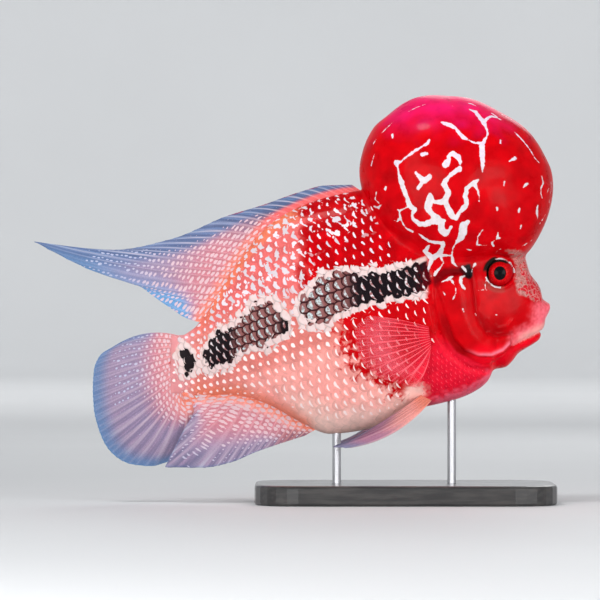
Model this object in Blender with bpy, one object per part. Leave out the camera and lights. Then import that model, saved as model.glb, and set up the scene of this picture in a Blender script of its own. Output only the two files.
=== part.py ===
"""Flowerhorn cichlid, a still life-size model on a low display stand.

Metres, +Z up. The fish swims towards +X with its nose up a little, its right side towards -Y.
The origin is the centre of the base's underside. Tables below are in millimetres.
"""

import math

import bmesh
import bpy
import numpy as np
from mathutils import Vector

MM = 0.001
GAP = 0.3  # between touching pieces, mm
HALF_SPACE = 80.0  # how far cutting prisms reach to each side, mm

# Sections across the body from tail to snout: x, back, belly, half width, squareness
BODY_SECTIONS = (
    (-133.0, 100.8, 65.2, 3.4, 2.2),
    (-126.0, 105.5, 64.4, 5.6, 2.1),
    (-118.0, 116.0, 64.3, 8.4, 2.0),
    (-105.0, 137.3, 64.6, 13.0, 1.9),
    (-92.0, 155.8, 62.3, 17.5, 1.85),
    (-81.0, 167.4, 58.4, 21.0, 1.85),
    (-63.0, 178.0, 48.6, 25.5, 1.85),
    (-45.0, 184.0, 41.4, 28.0, 1.85),
    (-28.0, 187.3, 43.2, 29.5, 1.9),
    (-12.0, 188.0, 47.4, 30.3, 1.95),
    (5.0, 186.0, 55.9, 30.5, 2.0),
    (21.0, 181.0, 59.7, 30.0, 2.1),
    (33.0, 175.0, 63.0, 29.0, 2.2),
    (43.8, 168.0, 68.2, 27.5, 2.3),
    (50.4, 163.5, 74.2, 26.0, 2.3),
    (53.0, 161.5, 80.0, 25.2, 2.3),
    (60.0, 156.0, 81.4, 23.6, 2.3),
    (64.0, 153.0, 84.8, 22.4, 2.3),
    (68.4, 150.0, 90.4, 20.9, 2.3),
    (71.6, 147.6, 92.6, 19.6, 2.3),
    (75.0, 137.6, 95.0, 18.0, 2.3),
    (78.8, 132.7, 98.4, 16.0, 2.3),
    (81.2, 128.4, 101.6, 14.6, 2.2),
    (82.4, 122.6, 104.4, 13.4, 2.1),
    (84.1, 121.3, 110.4, 11.6, 2.0),
    (86.2, 120.0, 114.4, 8.6, 2.0),
    (87.2, 119.2, 117.0, 4.4, 2.0),
)
BODY_END_X = BODY_SECTIONS[0][0]
TRUNK_STATIONS = np.linspace(BODY_END_X, 58.0, 25)
SNOUT_X = BODY_SECTIONS[-1][0]

# Nuchal hump: its centre, half width, and its side outline as degrees up from the front and radius
HUMP_CENTRE = (30.0, 194.0)
HUMP_HALF_WIDTH = 42.0
HUMP_FOOT_SQUARENESS = 2.9  # its lower half is fuller at the sides, so that it runs on into the cheeks
HUMP_OUTLINE = (
    (-62.0, 53.6),
    (-47.0, 61.8),
    (-30.0, 60.2),
    (0.0, 58.6),
    (30.0, 52.9),
    (60.0, 48.8),
    (90.0, 50.2),
    (118.0, 54.6),
    (137.0, 56.3),
    (148.0, 58.3),
    (170.0, 57.8),
    (188.0, 55.6),
    (208.0, 53.6),
    (240.0, 54.0),
    (270.0, 53.0),
    (298.0, 53.6),
)

# Lines seen from the side along which the whole is parted, (x, z)
HUMP_CREASE = (
    (-60.0, 196.0),
    (-26.0, 189.5),
    (-19.8, 179.0),
    (-12.0, 161.0),
    (-1.8, 149.6),
    (15.0, 141.6),
    (30.0, 139.8),
    (48.0, 141.6),
    (60.0, 144.6),
    (71.7, 147.6),
    (110.0, 156.0),
)
CREASE_AT_SLIT = 5
NAPE_X = -31.0  # where the hump's piece of the body starts, just behind the crease
GILL_SLIT = (
    (15.0, 141.6),
    (17.4, 121.8),
    (22.2, 100.8),
    (30.0, 90.6),
    (42.0, 84.6),
    (51.2, 80.0),
    (52.0, 30.0),
)
# From in front of the snout to the corner of the mouth, then down behind the jaw
MOUTH_LINE = (
    (110.0, 116.0),
    (82.0, 103.0),
    (72.6, 98.7),
    (64.2, 94.5),
    (60.8, 89.0),
    (58.0, 84.0),
    (57.0, 30.0),
)
MOUTH_CORNER = 3
MOUTH_GAP = 0.6
TAIL_CUT_X = -98.0

EYE_CENTRE = (56.2, 138.3)
EYE_RADIUS = 8.2
EYE_DEPTH = 6.0  # half thickness of the eyeball
EYE_SUNK = 3.4  # the eyeball's centre below the skin
ORBIT_RIM = (0.9, EYE_RADIUS + 0.6, 1.8)  # height, distance from the eye's centre and width
# Lips and the fold above the upper lip: height, distance from the mouth line and width
UPPER_LIP = (1.2, 3.6, 2.4)
LIP_FOLD = (-0.6, 8.4, 1.5)
LOWER_LIP = (1.3, 2.6, 1.9)
LIP_FADE = 5.0  # length over which the lips rise from the corner of the mouth
NOSTRIL = (71.0, 128.6)
NOSTRIL_RADIUS = 1.1
NOSTRIL_DEPTH = 1.8
CUT_REACH = 9.0  # how far a cutter stands out of the skin

# Gill cover: centre, plate outline and the edge of the membrane round it, side view
GILL_CENTRE = (37.8, 96.5)
GILL_PLATE = (
    (38.7, 134.4),
    (41.6, 119.0),
    (44.0, 108.6),
    (47.5, 102.6),
    (53.0, 101.0),
    (62.0, 101.6),
    (62.0, 95.6),
    (58.0, 91.4),
    (51.0, 88.6),
    (43.0, 88.8),
    (35.0, 92.2),
    (29.0, 98.6),
    (25.4, 109.0),
    (21.4, 119.6),
    (18.4, 128.6),
    (20.6, 134.4),
    (30.0, 136.6),
)
GILL_MEMBRANE = (
    (39.1, 135.2),
    (42.3, 119.2),
    (44.7, 108.9),
    (48.0, 103.3),
    (53.0, 101.8),
    (62.7, 102.4),
    (62.8, 95.2),
    (57.6, 88.6),
    (50.0, 83.8),
    (41.5, 84.6),
    (32.0, 88.6),
    (24.4, 95.2),
    (20.0, 106.5),
    (17.0, 118.2),
    (16.6, 128.8),
    (19.6, 135.4),
    (30.0, 137.4),
)
GILL_THICKNESS = 1.9
GILL_CLEAR = 0.4  # its inner face above the skin, so that its flat facets stay off it
MEMBRANE_THICKNESS = 1.0
GILL_RIM_POINTS = 34

# Fins: each row is a ray's number, its root and its tip, and how far it bows to its left, mm
DORSAL_RAYS = (
    (0, -26.5, (-31.8, 191.0), 0.0),
    (3, -36.0, (-48.0, 190.6), -0.5),
    (6, -51.0, (-64.2, 186.4), -0.5),
    (9, -66.0, (-85.8, 178.8), -0.8),
    (12, -81.0, (-108.0, 172.0), -1.5),
    (15, -91.8, (-141.0, 158.4), -2.0),
    (18, -100.2, (-177.0, 152.0), -2.0),
    (21, -106.2, (-223.8, 157.2), 4.0),
    (23, -112.2, (-187.2, 139.0), 3.0),
    (25, -117.0, (-163.0, 132.0), 2.0),
    (26, -120.5, (-148.0, 121.8), 1.5),
    (27, -123.2, (-134.2, 112.4), 0.5),
)
ANAL_RAYS = (
    (0, -54.0, (-60.0, 40.4), 0.0),
    (3, -64.0, (-73.2, 36.2), 0.5),
    (6, -74.0, (-89.4, 30.6), 0.8),
    (9, -85.0, (-106.2, 23.9), 1.0),
    (11, -94.0, (-123.0, 21.2), 1.2),
    (12, -99.0, (-144.0, 21.6), 1.5),
    (13, -105.0, (-139.5, 30.6), 1.5),
    (14, -111.5, (-133.2, 43.0), 1.2),
    (15, -117.5, (-126.5, 55.2), 0.6),
)
# The caudal fin's last rays fan forward under the tail's end
CAUDAL_ROOT_X = BODY_END_X - GAP
CAUDAL_RAYS = (
    (0, (CAUDAL_ROOT_X, 99.8), (-173.5, 95.0), -4.6),
    (2, (CAUDAL_ROOT_X, 95.6), (-183.6, 88.2), -3.2),
    (4, (CAUDAL_ROOT_X, 91.4), (-187.2, 79.0), -1.5),
    (6, (CAUDAL_ROOT_X, 87.0), (-187.8, 68.0), 0.0),
    (8, (CAUDAL_ROOT_X, 82.6), (-187.2, 56.6), 0.6),
    (10, (CAUDAL_ROOT_X, 78.2), (-184.2, 43.8), 1.2),
    (12, (CAUDAL_ROOT_X, 73.8), (-177.6, 31.0), 2.0),
    (14, (CAUDAL_ROOT_X, 69.8), (-164.0, 22.8), 2.6),
    (15, (CAUDAL_ROOT_X, 67.4), (-153.0, 21.8), 3.0),
    (16, (CAUDAL_ROOT_X, 64.6), (-139.5, 26.0), 5.0),
    (17, (-129.8, 64.3), (-128.5, 38.0), 3.0),
    (18, (-125.8, 63.9), (-120.5, 50.5), 1.0),
)
PECTORAL_RAYS = (
    (0, (12.0, 106.2), (-23.0, 112.6), -1.0),
    (3, (12.2, 102.4), (-31.0, 103.8), -0.5),
    (6, (12.8, 98.6), (-29.0, 90.6), 0.5),
    (9, (13.6, 94.8), (-18.0, 76.8), 1.0),
    (12, (14.6, 91.2), (5.6, 69.6), 1.5),
)
PELVIC_RAYS = (
    (0, (14.6, 60.6), (-33.0, 33.4), 5.0),
    (1, (13.2, 61.4), (-43.8, 34.2), 4.0),
    (3, (10.6, 62.8), (-33.5, 38.6), 1.6),
    (5, (8.0, 64.2), (-24.0, 43.8), 0.6),
)
DORSAL_SWAY = 5.0  # how far each fin's tips stand off the mid plane, +Y away from the right side
ANAL_SWAY = -7.0
CAUDAL_SWAY = 8.0
PECTORAL_SPREAD = 13.0
PELVIC_SPREAD = 13.0
FULL_SWAY_LENGTH = 60.0  # shorter rays sway less
EDGE_NICK = 0.02  # share of its length by which the membrane ends short of the ray tips
# The rays' thickness at root and tip, then the membrane's
FIN_THICKNESS = (1.7, 0.7, 0.9, 0.5)
CAUDAL_THICKNESS = (2.4, 0.7, 1.5, 0.5)

BASE_SIZE = (180.0, 108.0, 12.0)
BASE_CORNER = 26.0
BASE_BEVEL = 1.6
ROD_RADIUS = 2.6
ROD_XS = {"stand_rod_rear": -41.0, "stand_rod_front": 28.0}
ROD_SUNK = 8.0  # into the belly
ROD_IN_BASE = 6.0

RED = (0.72, 0.02, 0.03)
PINK = (0.9, 0.42, 0.36)
PALE_BLUE = (0.42, 0.5, 0.66)
BLACK = (0.03, 0.03, 0.03)
STEEL = (0.7, 0.7, 0.72)


def smooth_through(knots, values, places):
    """Values at the places, on a curve through the knots that never overshoots them."""
    knots, values = np.asarray(knots, float), np.asarray(values, float)
    places = np.clip(np.asarray(places, float), knots[0], knots[-1])
    step = np.diff(knots)
    rise = np.diff(values) / step
    slope = np.zeros(len(knots))
    slope[0], slope[-1] = rise[0], rise[-1]
    for i in range(1, len(knots) - 1):
        if rise[i - 1] * rise[i] > 0:
            before, after = 2 * step[i] + step[i - 1], step[i] + 2 * step[i - 1]
            slope[i] = (before + after) / (before / rise[i - 1] + after / rise[i])
    i = np.clip(np.searchsorted(knots, places) - 1, 0, len(step) - 1)
    t = (places - knots[i]) / step[i]
    start = values[i] * (1 + 2 * t) * (1 - t) ** 2 + values[i + 1] * t * t * (3 - 2 * t)
    return start + step[i] * (slope[i] * t * (1 - t) ** 2 - slope[i + 1] * t * t * (1 - t))


def section(x):
    """Back height, belly height, half width and squareness of the body at x."""
    columns = list(zip(*BODY_SECTIONS))
    return [float(smooth_through(columns[0], column, x)) for column in columns[1:]]


def distance_to_line(point, line):
    """Distance in the side view from a point to a polyline."""
    best = math.inf
    for a, b in zip(line, line[1:]):
        a, along = np.array(a), np.array(b) - np.array(a)
        t = np.clip(np.dot(np.array(point) - a, along) / np.dot(along, along), 0, 1)
        best = min(best, float(np.linalg.norm(np.array(point) - a - t * along)))
    return best


def ridge(distance, height, place, width):
    return height * math.exp(-(((distance - place) / width) ** 2))


def relief(x, z):
    """How far the head's skin stands out at (x, z): the rim round the eye and the two lips."""
    raised = ridge(math.dist((x, z), EYE_CENTRE), *ORBIT_RIM)
    corner = MOUTH_LINE[MOUTH_CORNER]
    if x > corner[0]:
        line = MOUTH_LINE[: MOUTH_CORNER + 1]
        away = distance_to_line((x, z), line)
        line_x, line_z = zip(*line[::-1])
        above = z > np.interp(x, line_x, line_z)
        lip = ridge(away, *UPPER_LIP) + ridge(away, *LIP_FOLD) if above else ridge(away, *LOWER_LIP)
        raised += lip * min(1.0, (x - corner[0]) / LIP_FADE)
    return raised


def half_width_at(x, z):
    """The body's half width at a point of the side view."""
    back, belly, wide, square = section(x)
    middle = (back + belly) / 2
    high = min(1.0, abs(z - middle) / (back - middle))
    return wide * (1 - high**square) ** (1 / square)


def off_skin(x, z, side, away):
    """The point a distance off the skin over (x, z), along the skin's own normal."""

    def skin(x, z):
        return half_width_at(x, z) + relief(x, z)

    step = 0.5
    slope_x = (skin(x + step, z) - skin(x - step, z)) / (2 * step)
    slope_z = (skin(x, z + step) - skin(x, z - step)) / (2 * step)
    normal = Vector((-slope_x, 1.0, -slope_z)).normalized()
    return (x + away * normal.x, side * (skin(x, z) + away * normal.y), z + away * normal.z)


def placed(name, shape):
    """Turns a finished bmesh into an object of the scene."""
    mesh = bpy.data.meshes.new(name)
    shape.to_mesh(mesh)
    shape.free()
    made = bpy.data.objects.new(name, mesh)
    bpy.context.scene.collection.objects.link(made)
    return made


def new_object(name, points, faces):
    """A mesh object from points in mm, with its faces turned outwards."""
    shape = bmesh.new()
    corners = [shape.verts.new(Vector(point) * MM) for point in points]
    for face in faces:
        shape.faces.new([corners[i] for i in face])
    bmesh.ops.recalc_face_normals(shape, faces=shape.faces)
    return placed(name, shape)


def grid_faces(rows, columns, closed=True):
    """Quads between rows of points, each row with the same number of columns."""
    around = columns if closed else columns - 1
    return [
        tuple(at * columns + to % columns for at, to in ((r, c), (r, c + 1), (r + 1, c + 1), (r + 1, c)))
        for r in range(rows - 1)
        for c in range(around)
    ]


def body_loft(name, stations, around, with_relief):
    """The body between the first and last station, as rings of superellipses."""
    points = []
    for x in stations:
        back, belly, wide, square = section(x)
        middle, half_height = (back + belly) / 2, (back - belly) / 2
        for turn in np.linspace(0, 2 * math.pi, around, endpoint=False):
            up, out = math.cos(turn), math.sin(turn)
            z = middle + half_height * math.copysign(abs(up) ** (2 / square), up)
            y = wide * math.copysign(abs(out) ** (2 / square), out)
            points.append((x, y, z))
    faces = grid_faces(len(stations), around)
    faces.append(tuple(range(around))[::-1])
    faces.append(tuple(len(points) - around + i for i in range(around)))
    loft = new_object(name, points, faces)
    if with_relief:
        outwards = [vertex.normal.copy() for vertex in loft.data.vertices]
        for vertex, normal in zip(loft.data.vertices, outwards):
            vertex.co += normal * relief(vertex.co.x / MM, vertex.co.z / MM) * MM
    return loft


def hump_ball(name):
    """The whole hump as a ball whose side outline follows HUMP_OUTLINE."""
    shape = bmesh.new()
    bmesh.ops.create_icosphere(shape, subdivisions=4, radius=1.0)
    degrees, radii = zip(*HUMP_OUTLINE)
    start = degrees[0]
    for vertex in shape.verts:
        x, y, z = vertex.co
        turn = (math.degrees(math.atan2(z, x)) - start) % 360 + start
        radius = float(smooth_through(degrees, radii, turn))
        square = 2.0 + (HUMP_FOOT_SQUARENESS - 2.0) * min(1.0, max(0.0, -2.0 * z))
        fuller = (math.hypot(x, z) ** square + abs(y) ** square) ** (-1 / square)
        side = HUMP_HALF_WIDTH * fuller * y
        place = (HUMP_CENTRE[0] + radius * fuller * x, side, HUMP_CENTRE[1] + radius * fuller * z)
        vertex.co = Vector(place) * MM
    return placed(name, shape)


def inset(outline, distance):
    """The side-view outline moved inwards."""
    points = np.array(outline, float)
    ahead, behind = np.roll(points, -1, axis=0) - points, points - np.roll(points, 1, axis=0)
    area = np.sum(points[:, 0] * np.roll(points[:, 1], -1) - np.roll(points[:, 0], -1) * points[:, 1])
    turned = math.copysign(1.0, area)
    ahead /= np.linalg.norm(ahead, axis=1)[:, None]
    behind /= np.linalg.norm(behind, axis=1)[:, None]
    inwards = turned * np.stack((-(ahead + behind)[:, 1], (ahead + behind)[:, 0]), axis=1)
    inwards /= np.linalg.norm(inwards, axis=1)[:, None]
    spread = np.sqrt(np.clip((1 + np.sum(ahead * behind, axis=1)) / 2, 0.2, 1))
    return points + inwards * (distance / spread)[:, None]


def prism(name, outline, distance):
    """A side-view region, moved inwards by a distance, carried right across the body."""
    region = inset(outline, distance)
    count = len(region)
    points = [(x, y, z) for y in (-HALF_SPACE, HALF_SPACE) for x, z in region]
    faces = grid_faces(2, count)
    faces += [tuple(range(count))[::-1], tuple(range(count, 2 * count))]
    return new_object(name, points, faces)


def ellipsoid(name, centre, radii, segments=20, rings=12):
    """An ellipsoid whose poles point to the sides of the fish."""
    shape = bmesh.new()
    bmesh.ops.create_uvsphere(shape, u_segments=segments, v_segments=rings, radius=1.0)
    for vertex in shape.verts:
        x, y, z = vertex.co
        place = (centre[0] + radii[0] * x, centre[1] + radii[1] * z, centre[2] - radii[2] * y)
        vertex.co = Vector(place) * MM
    return placed(name, shape)


def cylinder(name, radius, start, end, sides=16):
    """A cylinder between two points."""
    start, end = Vector(start) * MM, Vector(end) * MM
    shape = bmesh.new()
    wide, long = radius * MM, (end - start).length
    bmesh.ops.create_cone(shape, cap_ends=True, segments=sides, radius1=wide, radius2=wide, depth=long)
    turn = (end - start).to_track_quat("Z", "Y").to_matrix().to_4x4()
    bmesh.ops.transform(shape, matrix=turn, verts=shape.verts)
    bmesh.ops.translate(shape, vec=(start + end) / 2, verts=shape.verts)
    return placed(name, shape)


def apply_modifiers(piece):
    """Replaces a piece's mesh with its evaluated mesh."""
    bpy.context.view_layer.update()
    evaluated = piece.evaluated_get(bpy.context.evaluated_depsgraph_get())
    mesh = bpy.data.meshes.new_from_object(evaluated)
    piece.modifiers.clear()
    piece.data = mesh


def boolean(piece, operation, tools, solver="EXACT"):
    """Joins, cuts or keeps the piece with the tools, which are then removed."""
    group = bpy.data.collections.new("tools")
    for tool in tools:
        group.objects.link(tool)
    modifier = piece.modifiers.new(operation.lower(), "BOOLEAN")
    modifier.operation = operation
    modifier.solver = solver
    if operation == "INTERSECT":
        modifier.object = tools[0]
    else:
        modifier.operand_type = "COLLECTION"
        modifier.collection = group
    apply_modifiers(piece)
    for tool in tools:
        bpy.data.objects.remove(tool)
    bpy.data.collections.remove(group)


def keep_largest(piece):
    """Keeps only the largest closed surface of a piece."""
    shape = bmesh.new()
    shape.from_mesh(piece.data)
    bmesh.ops.remove_doubles(shape, verts=shape.verts, dist=0.001 * MM)
    left, islands = set(shape.verts), []
    while left:
        fresh = [left.pop()]
        reached = set(fresh)
        while fresh:
            around = {vertex for link in fresh.pop().link_edges for vertex in link.verts} & left
            left -= around
            reached |= around
            fresh.extend(around)
        islands.append(reached)
    largest = max(islands, key=len)
    scraps = [vertex for island in islands if island is not largest for vertex in island]
    bmesh.ops.delete(shape, geom=scraps, context="VERTS")
    bmesh.ops.triangulate(shape, faces=shape.faces)
    shape.to_mesh(piece.data)
    shape.free()


def finish(piece, colour, roughness, metallic=0.0):
    """Gives a piece its material and smooth shading."""
    material = bpy.data.materials.new(piece.name)
    material.use_nodes = True
    shader = material.node_tree.nodes["Principled BSDF"]
    shader.inputs["Base Color"].default_value = (*colour, 1.0)
    shader.inputs["Roughness"].default_value = roughness
    shader.inputs["Metallic"].default_value = metallic
    piece.data.materials.clear()
    piece.data.materials.append(material)
    piece.data.shade_smooth()
    piece.data.set_sharp_from_angle(angle=math.radians(35))


def head_loft(name, rear=8.0):
    cheeks = np.arange(rear, 59.0, 3.0)
    face = np.linspace(60.5, SNOUT_X, 21)
    return body_loft(name, [*cheeks, *face], 60, True)


def trunk_loft(name):
    return body_loft(name, TRUNK_STATIONS, 44, False)


def mid_line(x, above):
    """Height of the trunk's back or belly on the mid line, along its straight runs between rings."""
    heights = [section(station)[0 if above else 1] for station in TRUNK_STATIONS]
    return float(np.interp(x, TRUNK_STATIONS, heights))


def eyeball(name, side, grown=0.0):
    """side is -1 for the right of the fish and 1 for its left."""
    x, z = EYE_CENTRE
    centre = (x, side * (half_width_at(x, z) - EYE_SUNK), z)
    return ellipsoid(name, centre, (EYE_RADIUS + grown, EYE_DEPTH + grown, EYE_RADIUS + grown))


def rod(name, x, grown=0.0):
    low = BASE_SIZE[2] - ROD_IN_BASE - grown
    high = section(x)[1] + ROD_SUNK + grown
    return cylinder(name, ROD_RADIUS + grown, (x, 0, low), (x, 0, high))


def build_flesh():
    """Head, hump, torso, tail and jaw: one whole body parted with thin cuts."""
    crease, slit, mouth = list(HUMP_CREASE), list(GILL_SLIT), list(MOUTH_LINE)
    front, low, high, rear = crease[-1][0], 0.0, 300.0, -160.0
    regions = {
        "nuchal_hump": [*crease, (front, high), (crease[0][0], high)],
        "head": [*crease[CREASE_AT_SLIT:], *mouth, *slit[:0:-1]],
        "lower_jaw": [*mouth, (front, mouth[-1][1])],
        "torso": [
            *crease[: CREASE_AT_SLIT + 1],
            *slit[1:],
            (slit[-1][0], low),
            (TAIL_CUT_X, low),
            (TAIL_CUT_X, high),
        ],
        "tail": [(TAIL_CUT_X, low), (rear, low), (rear, high), (TAIL_CUT_X, high)],
    }
    for name, region in regions.items():
        in_head = name in ("head", "lower_jaw", "nuchal_hump")
        if name == "nuchal_hump":
            piece = head_loft(name, NAPE_X)
        else:
            piece = head_loft(name) if in_head else trunk_loft(name)
        if name in ("head", "torso", "nuchal_hump"):
            boolean(piece, "UNION", [hump_ball("ball")])
        edge = MOUTH_GAP / 2 if name == "lower_jaw" else GAP / 2
        boolean(piece, "INTERSECT", [prism("region", region, edge)])
        # EXACT leaves open edges round the sockets and nostrils
        if name in ("head", "nuchal_hump"):
            sockets = [eyeball("socket", side, GAP) for side in (-1, 1)]
            boolean(piece, "DIFFERENCE", sockets, solver="MANIFOLD")
        if name == "head":
            boolean(piece, "DIFFERENCE", [nostril(side) for side in (-1, 1)], solver="MANIFOLD")
        if name == "torso":
            boolean(piece, "DIFFERENCE", [rod("hole", x, GAP) for x in ROD_XS.values()])
        keep_largest(piece)
        finish(piece, RED if in_head else PINK, 0.35)


def nostril(side):
    x, z = NOSTRIL
    skin = half_width_at(x, z)
    inner, outer = (x, side * (skin - NOSTRIL_DEPTH), z), (x, side * (skin + CUT_REACH), z)
    return cylinder("nostril", NOSTRIL_RADIUS, inner, outer, sides=10)


def closed_curve(points, count):
    """A smooth closed curve through the points, evenly spaced by their number."""
    knots = np.arange(-2, len(points) + 3)
    around = [points[k % len(points)] for k in knots]
    places = np.linspace(0, len(points), count, endpoint=False)
    return np.stack([smooth_through(knots, [p[axis] for p in around], places) for axis in (0, 1)], axis=1)


def build_gill_cover(name, side):
    """A thin plate over the gills, with the softer membrane as a lower step round it."""
    count = GILL_RIM_POINTS
    centre = np.array(GILL_CENTRE)
    plate, edge = closed_curve(GILL_PLATE, count), closed_curve(GILL_MEMBRANE, count)
    shares = (0.08, 0.32, 0.54, 0.75, 0.94)
    rings = [(centre + (plate - centre) * share, GILL_THICKNESS - 0.4 * share) for share in shares]
    rings.append((plate, MEMBRANE_THICKNESS + 0.3))
    rings.append((plate + (edge - plate) * 0.5, MEMBRANE_THICKNESS))
    rings.append((edge, MEMBRANE_THICKNESS * 0.6))
    points = []
    for outside in (True, False):
        for outline, thickness in rings:
            for x, z in outline:
                points.append(off_skin(x, z, side, GILL_CLEAR + (thickness if outside else 0.0)))
    half = len(points) // 2
    faces = []
    for quad in grid_faces(len(rings), count):
        for face in ((quad[0], quad[1], quad[2]), (quad[0], quad[2], quad[3])):
            faces.append(face)
            faces.append(tuple(i + half for i in face[::-1]))
    rim = half - count
    for i in range(count):
        a, b = rim + i, rim + (i + 1) % count
        faces += [(a, b, b + half), (a, b + half, a + half)]
    faces.append(tuple(range(count)))
    faces.append(tuple(half + i for i in reversed(range(count))))
    finish(new_object(name, points, faces), RED, 0.3)


def build_fin(name, rays, rows, root_y, sway, thickness, colour):
    """A membrane with its rays as ridges on both faces.

    rays: control rows (number, root, tip, bow), root and tip in the side view.
    root_y gives the mid surface's y at a ray's root, and sway how far it leaves that y
    from the share of the ray passed and the ray's length.
    thickness: the ray's at its root and tip, and the membrane's at its root and edge.
    """
    numbers = [row[0] for row in rays]
    columns = np.arange(0, 2 * numbers[-1] + 1) / 2
    table = np.array([(*row[1], *row[2], row[3]) for row in rays])
    root_x, root_z, tip_x, tip_z, bow = (smooth_through(numbers, column, columns) for column in table.T)
    points = []
    for face_side in (-1, 1):
        for row in range(rows):
            out = row / (rows - 1)
            for c in range(len(columns)):
                across, up = tip_x[c] - root_x[c], tip_z[c] - root_z[c]
                is_ray = c % 2 == 0
                reach = out if is_ray or row < rows - 1 else out - EDGE_NICK
                length = math.hypot(across, up)
                lift = bow[c] * 4 * reach * (1 - reach) / length
                x = root_x[c] + across * reach - up * lift
                z = root_z[c] + up * reach + across * lift
                thick = np.interp(out, (0, 1), thickness[:2] if is_ray else thickness[2:])
                y = root_y(root_x[c], root_z[c]) + sway(reach, length)
                points.append((x, y + face_side * thick / 2, z))
    count = len(columns)
    half = rows * count
    faces = []
    for quad in grid_faces(rows, count, closed=False):
        for face in ((quad[0], quad[1], quad[2]), (quad[0], quad[2], quad[3])):
            faces.append(face)
            faces.append(tuple(i + half for i in face[::-1]))
    border = [*range(count), *(r * count + count - 1 for r in range(1, rows))]
    border += [(rows - 1) * count + c for c in range(count - 2, -1, -1)]
    border += [r * count for r in range(rows - 2, 0, -1)]
    for a, b in zip(border, border[1:] + border[:1]):
        faces += [(a, b, b + half), (a, b + half, a + half)]
    finish(new_object(name, points, faces), colour, 0.35)


def build_median_fins():
    """Dorsal, anal and caudal fins, which stand on the body's mid line."""

    def on_line(x, z):
        return 0.0

    def waving(far):
        return lambda out, length: far * out**1.5 * min(1.0, length / FULL_SWAY_LENGTH)

    dorsal = [(n, (x, mid_line(x, True) + GAP), tip, bow) for n, x, tip, bow in DORSAL_RAYS]
    anal = [(n, (x, mid_line(x, False) - GAP), tip, bow) for n, x, tip, bow in ANAL_RAYS]
    build_fin("dorsal_fin", dorsal, 7, on_line, waving(DORSAL_SWAY), FIN_THICKNESS, PALE_BLUE)
    build_fin("anal_fin", anal, 7, on_line, waving(ANAL_SWAY), FIN_THICKNESS, PALE_BLUE)
    build_fin("caudal_fin", CAUDAL_RAYS, 8, on_line, waving(CAUDAL_SWAY), CAUDAL_THICKNESS, PALE_BLUE)


def build_paired_fins():
    """Pectoral and pelvic fins of both sides, standing off the flank and belly."""
    for word, side in (("right", -1), ("left", 1)):

        def on_skin(x, z, side=side):
            return side * (half_width_at(x, z) + GAP + FIN_THICKNESS[0] / 2)

        def spreading(far, power, side=side):
            return lambda out, length: side * far * out**power

        pectoral, pelvic = spreading(PECTORAL_SPREAD, 1.0), spreading(PELVIC_SPREAD, 0.7)
        build_fin("pectoral_fin_" + word, PECTORAL_RAYS, 6, on_skin, pectoral, FIN_THICKNESS, RED)
        build_fin("pelvic_fin_" + word, PELVIC_RAYS, 7, on_skin, pelvic, FIN_THICKNESS, PINK)


def build_eyes():
    for word, side in (("right", -1), ("left", 1)):
        finish(eyeball("eye_" + word, side), RED, 0.1)


def build_stand():
    """A flat base and two short rods that hold the belly."""
    long, wide, thick = BASE_SIZE
    outline = []
    for quarter in range(4):
        to_x, to_y = ((1, 1), (-1, 1), (-1, -1), (1, -1))[quarter]
        for turn in np.linspace(0, math.pi / 2, 7) + quarter * math.pi / 2:
            x = to_x * (long / 2 - BASE_CORNER) + BASE_CORNER * math.cos(turn)
            y = to_y * (wide / 2 - BASE_CORNER) + BASE_CORNER * math.sin(turn)
            outline.append((x, y))
    count = len(outline)
    points = [(x, y, z) for z in (0.0, thick) for x, y in outline]
    faces = grid_faces(2, count) + [tuple(range(count))[::-1], tuple(range(count, 2 * count))]
    base = new_object("stand_base", points, faces)
    bevel = base.modifiers.new("edge", "BEVEL")
    bevel.width = BASE_BEVEL * MM
    bevel.segments = 2
    bevel.limit_method = "ANGLE"
    bevel.angle_limit = math.radians(60)
    apply_modifiers(base)
    boolean(base, "DIFFERENCE", [rod("hole", x, GAP) for x in ROD_XS.values()])
    keep_largest(base)
    finish(base, BLACK, 0.4)
    for name, x in ROD_XS.items():
        finish(rod(name, x), STEEL, 0.25, 1.0)


def main():
    for old in list(bpy.data.objects):
        bpy.data.objects.remove(old)
    build_flesh()
    build_eyes()
    for word, side in (("right", -1), ("left", 1)):
        build_gill_cover("gill_cover_" + word, side)
    build_median_fins()
    build_paired_fins()
    build_stand()


main()
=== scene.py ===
"""Looks of the flowerhorn cichlid model: skin, scales, fins, eyes, stand, floor, light and camera.

Metres, +Z up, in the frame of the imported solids. The fish swims towards +X, its right side towards -Y.
Tables and shape functions are in millimetres, and seen from the side a place is (x, z).
"""

import math
from functools import partialmethod

import bmesh
import bpy
import numpy as np
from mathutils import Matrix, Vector, noise
from mathutils.bvhtree import BVHTree
from mathutils.kdtree import KDTree


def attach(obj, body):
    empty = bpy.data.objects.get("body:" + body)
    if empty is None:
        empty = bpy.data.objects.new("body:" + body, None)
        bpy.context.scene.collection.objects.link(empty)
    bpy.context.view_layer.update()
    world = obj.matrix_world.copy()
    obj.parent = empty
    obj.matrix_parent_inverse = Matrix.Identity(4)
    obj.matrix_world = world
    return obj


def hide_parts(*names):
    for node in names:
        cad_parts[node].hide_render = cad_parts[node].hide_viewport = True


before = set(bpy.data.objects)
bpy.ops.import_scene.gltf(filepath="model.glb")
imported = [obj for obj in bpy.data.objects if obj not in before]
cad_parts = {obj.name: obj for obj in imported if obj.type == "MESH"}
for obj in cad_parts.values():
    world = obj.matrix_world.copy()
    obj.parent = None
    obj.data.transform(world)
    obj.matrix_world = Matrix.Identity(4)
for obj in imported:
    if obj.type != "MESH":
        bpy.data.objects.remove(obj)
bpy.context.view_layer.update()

MM = 0.001
GAP = 0.3  # between touching solids

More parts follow.
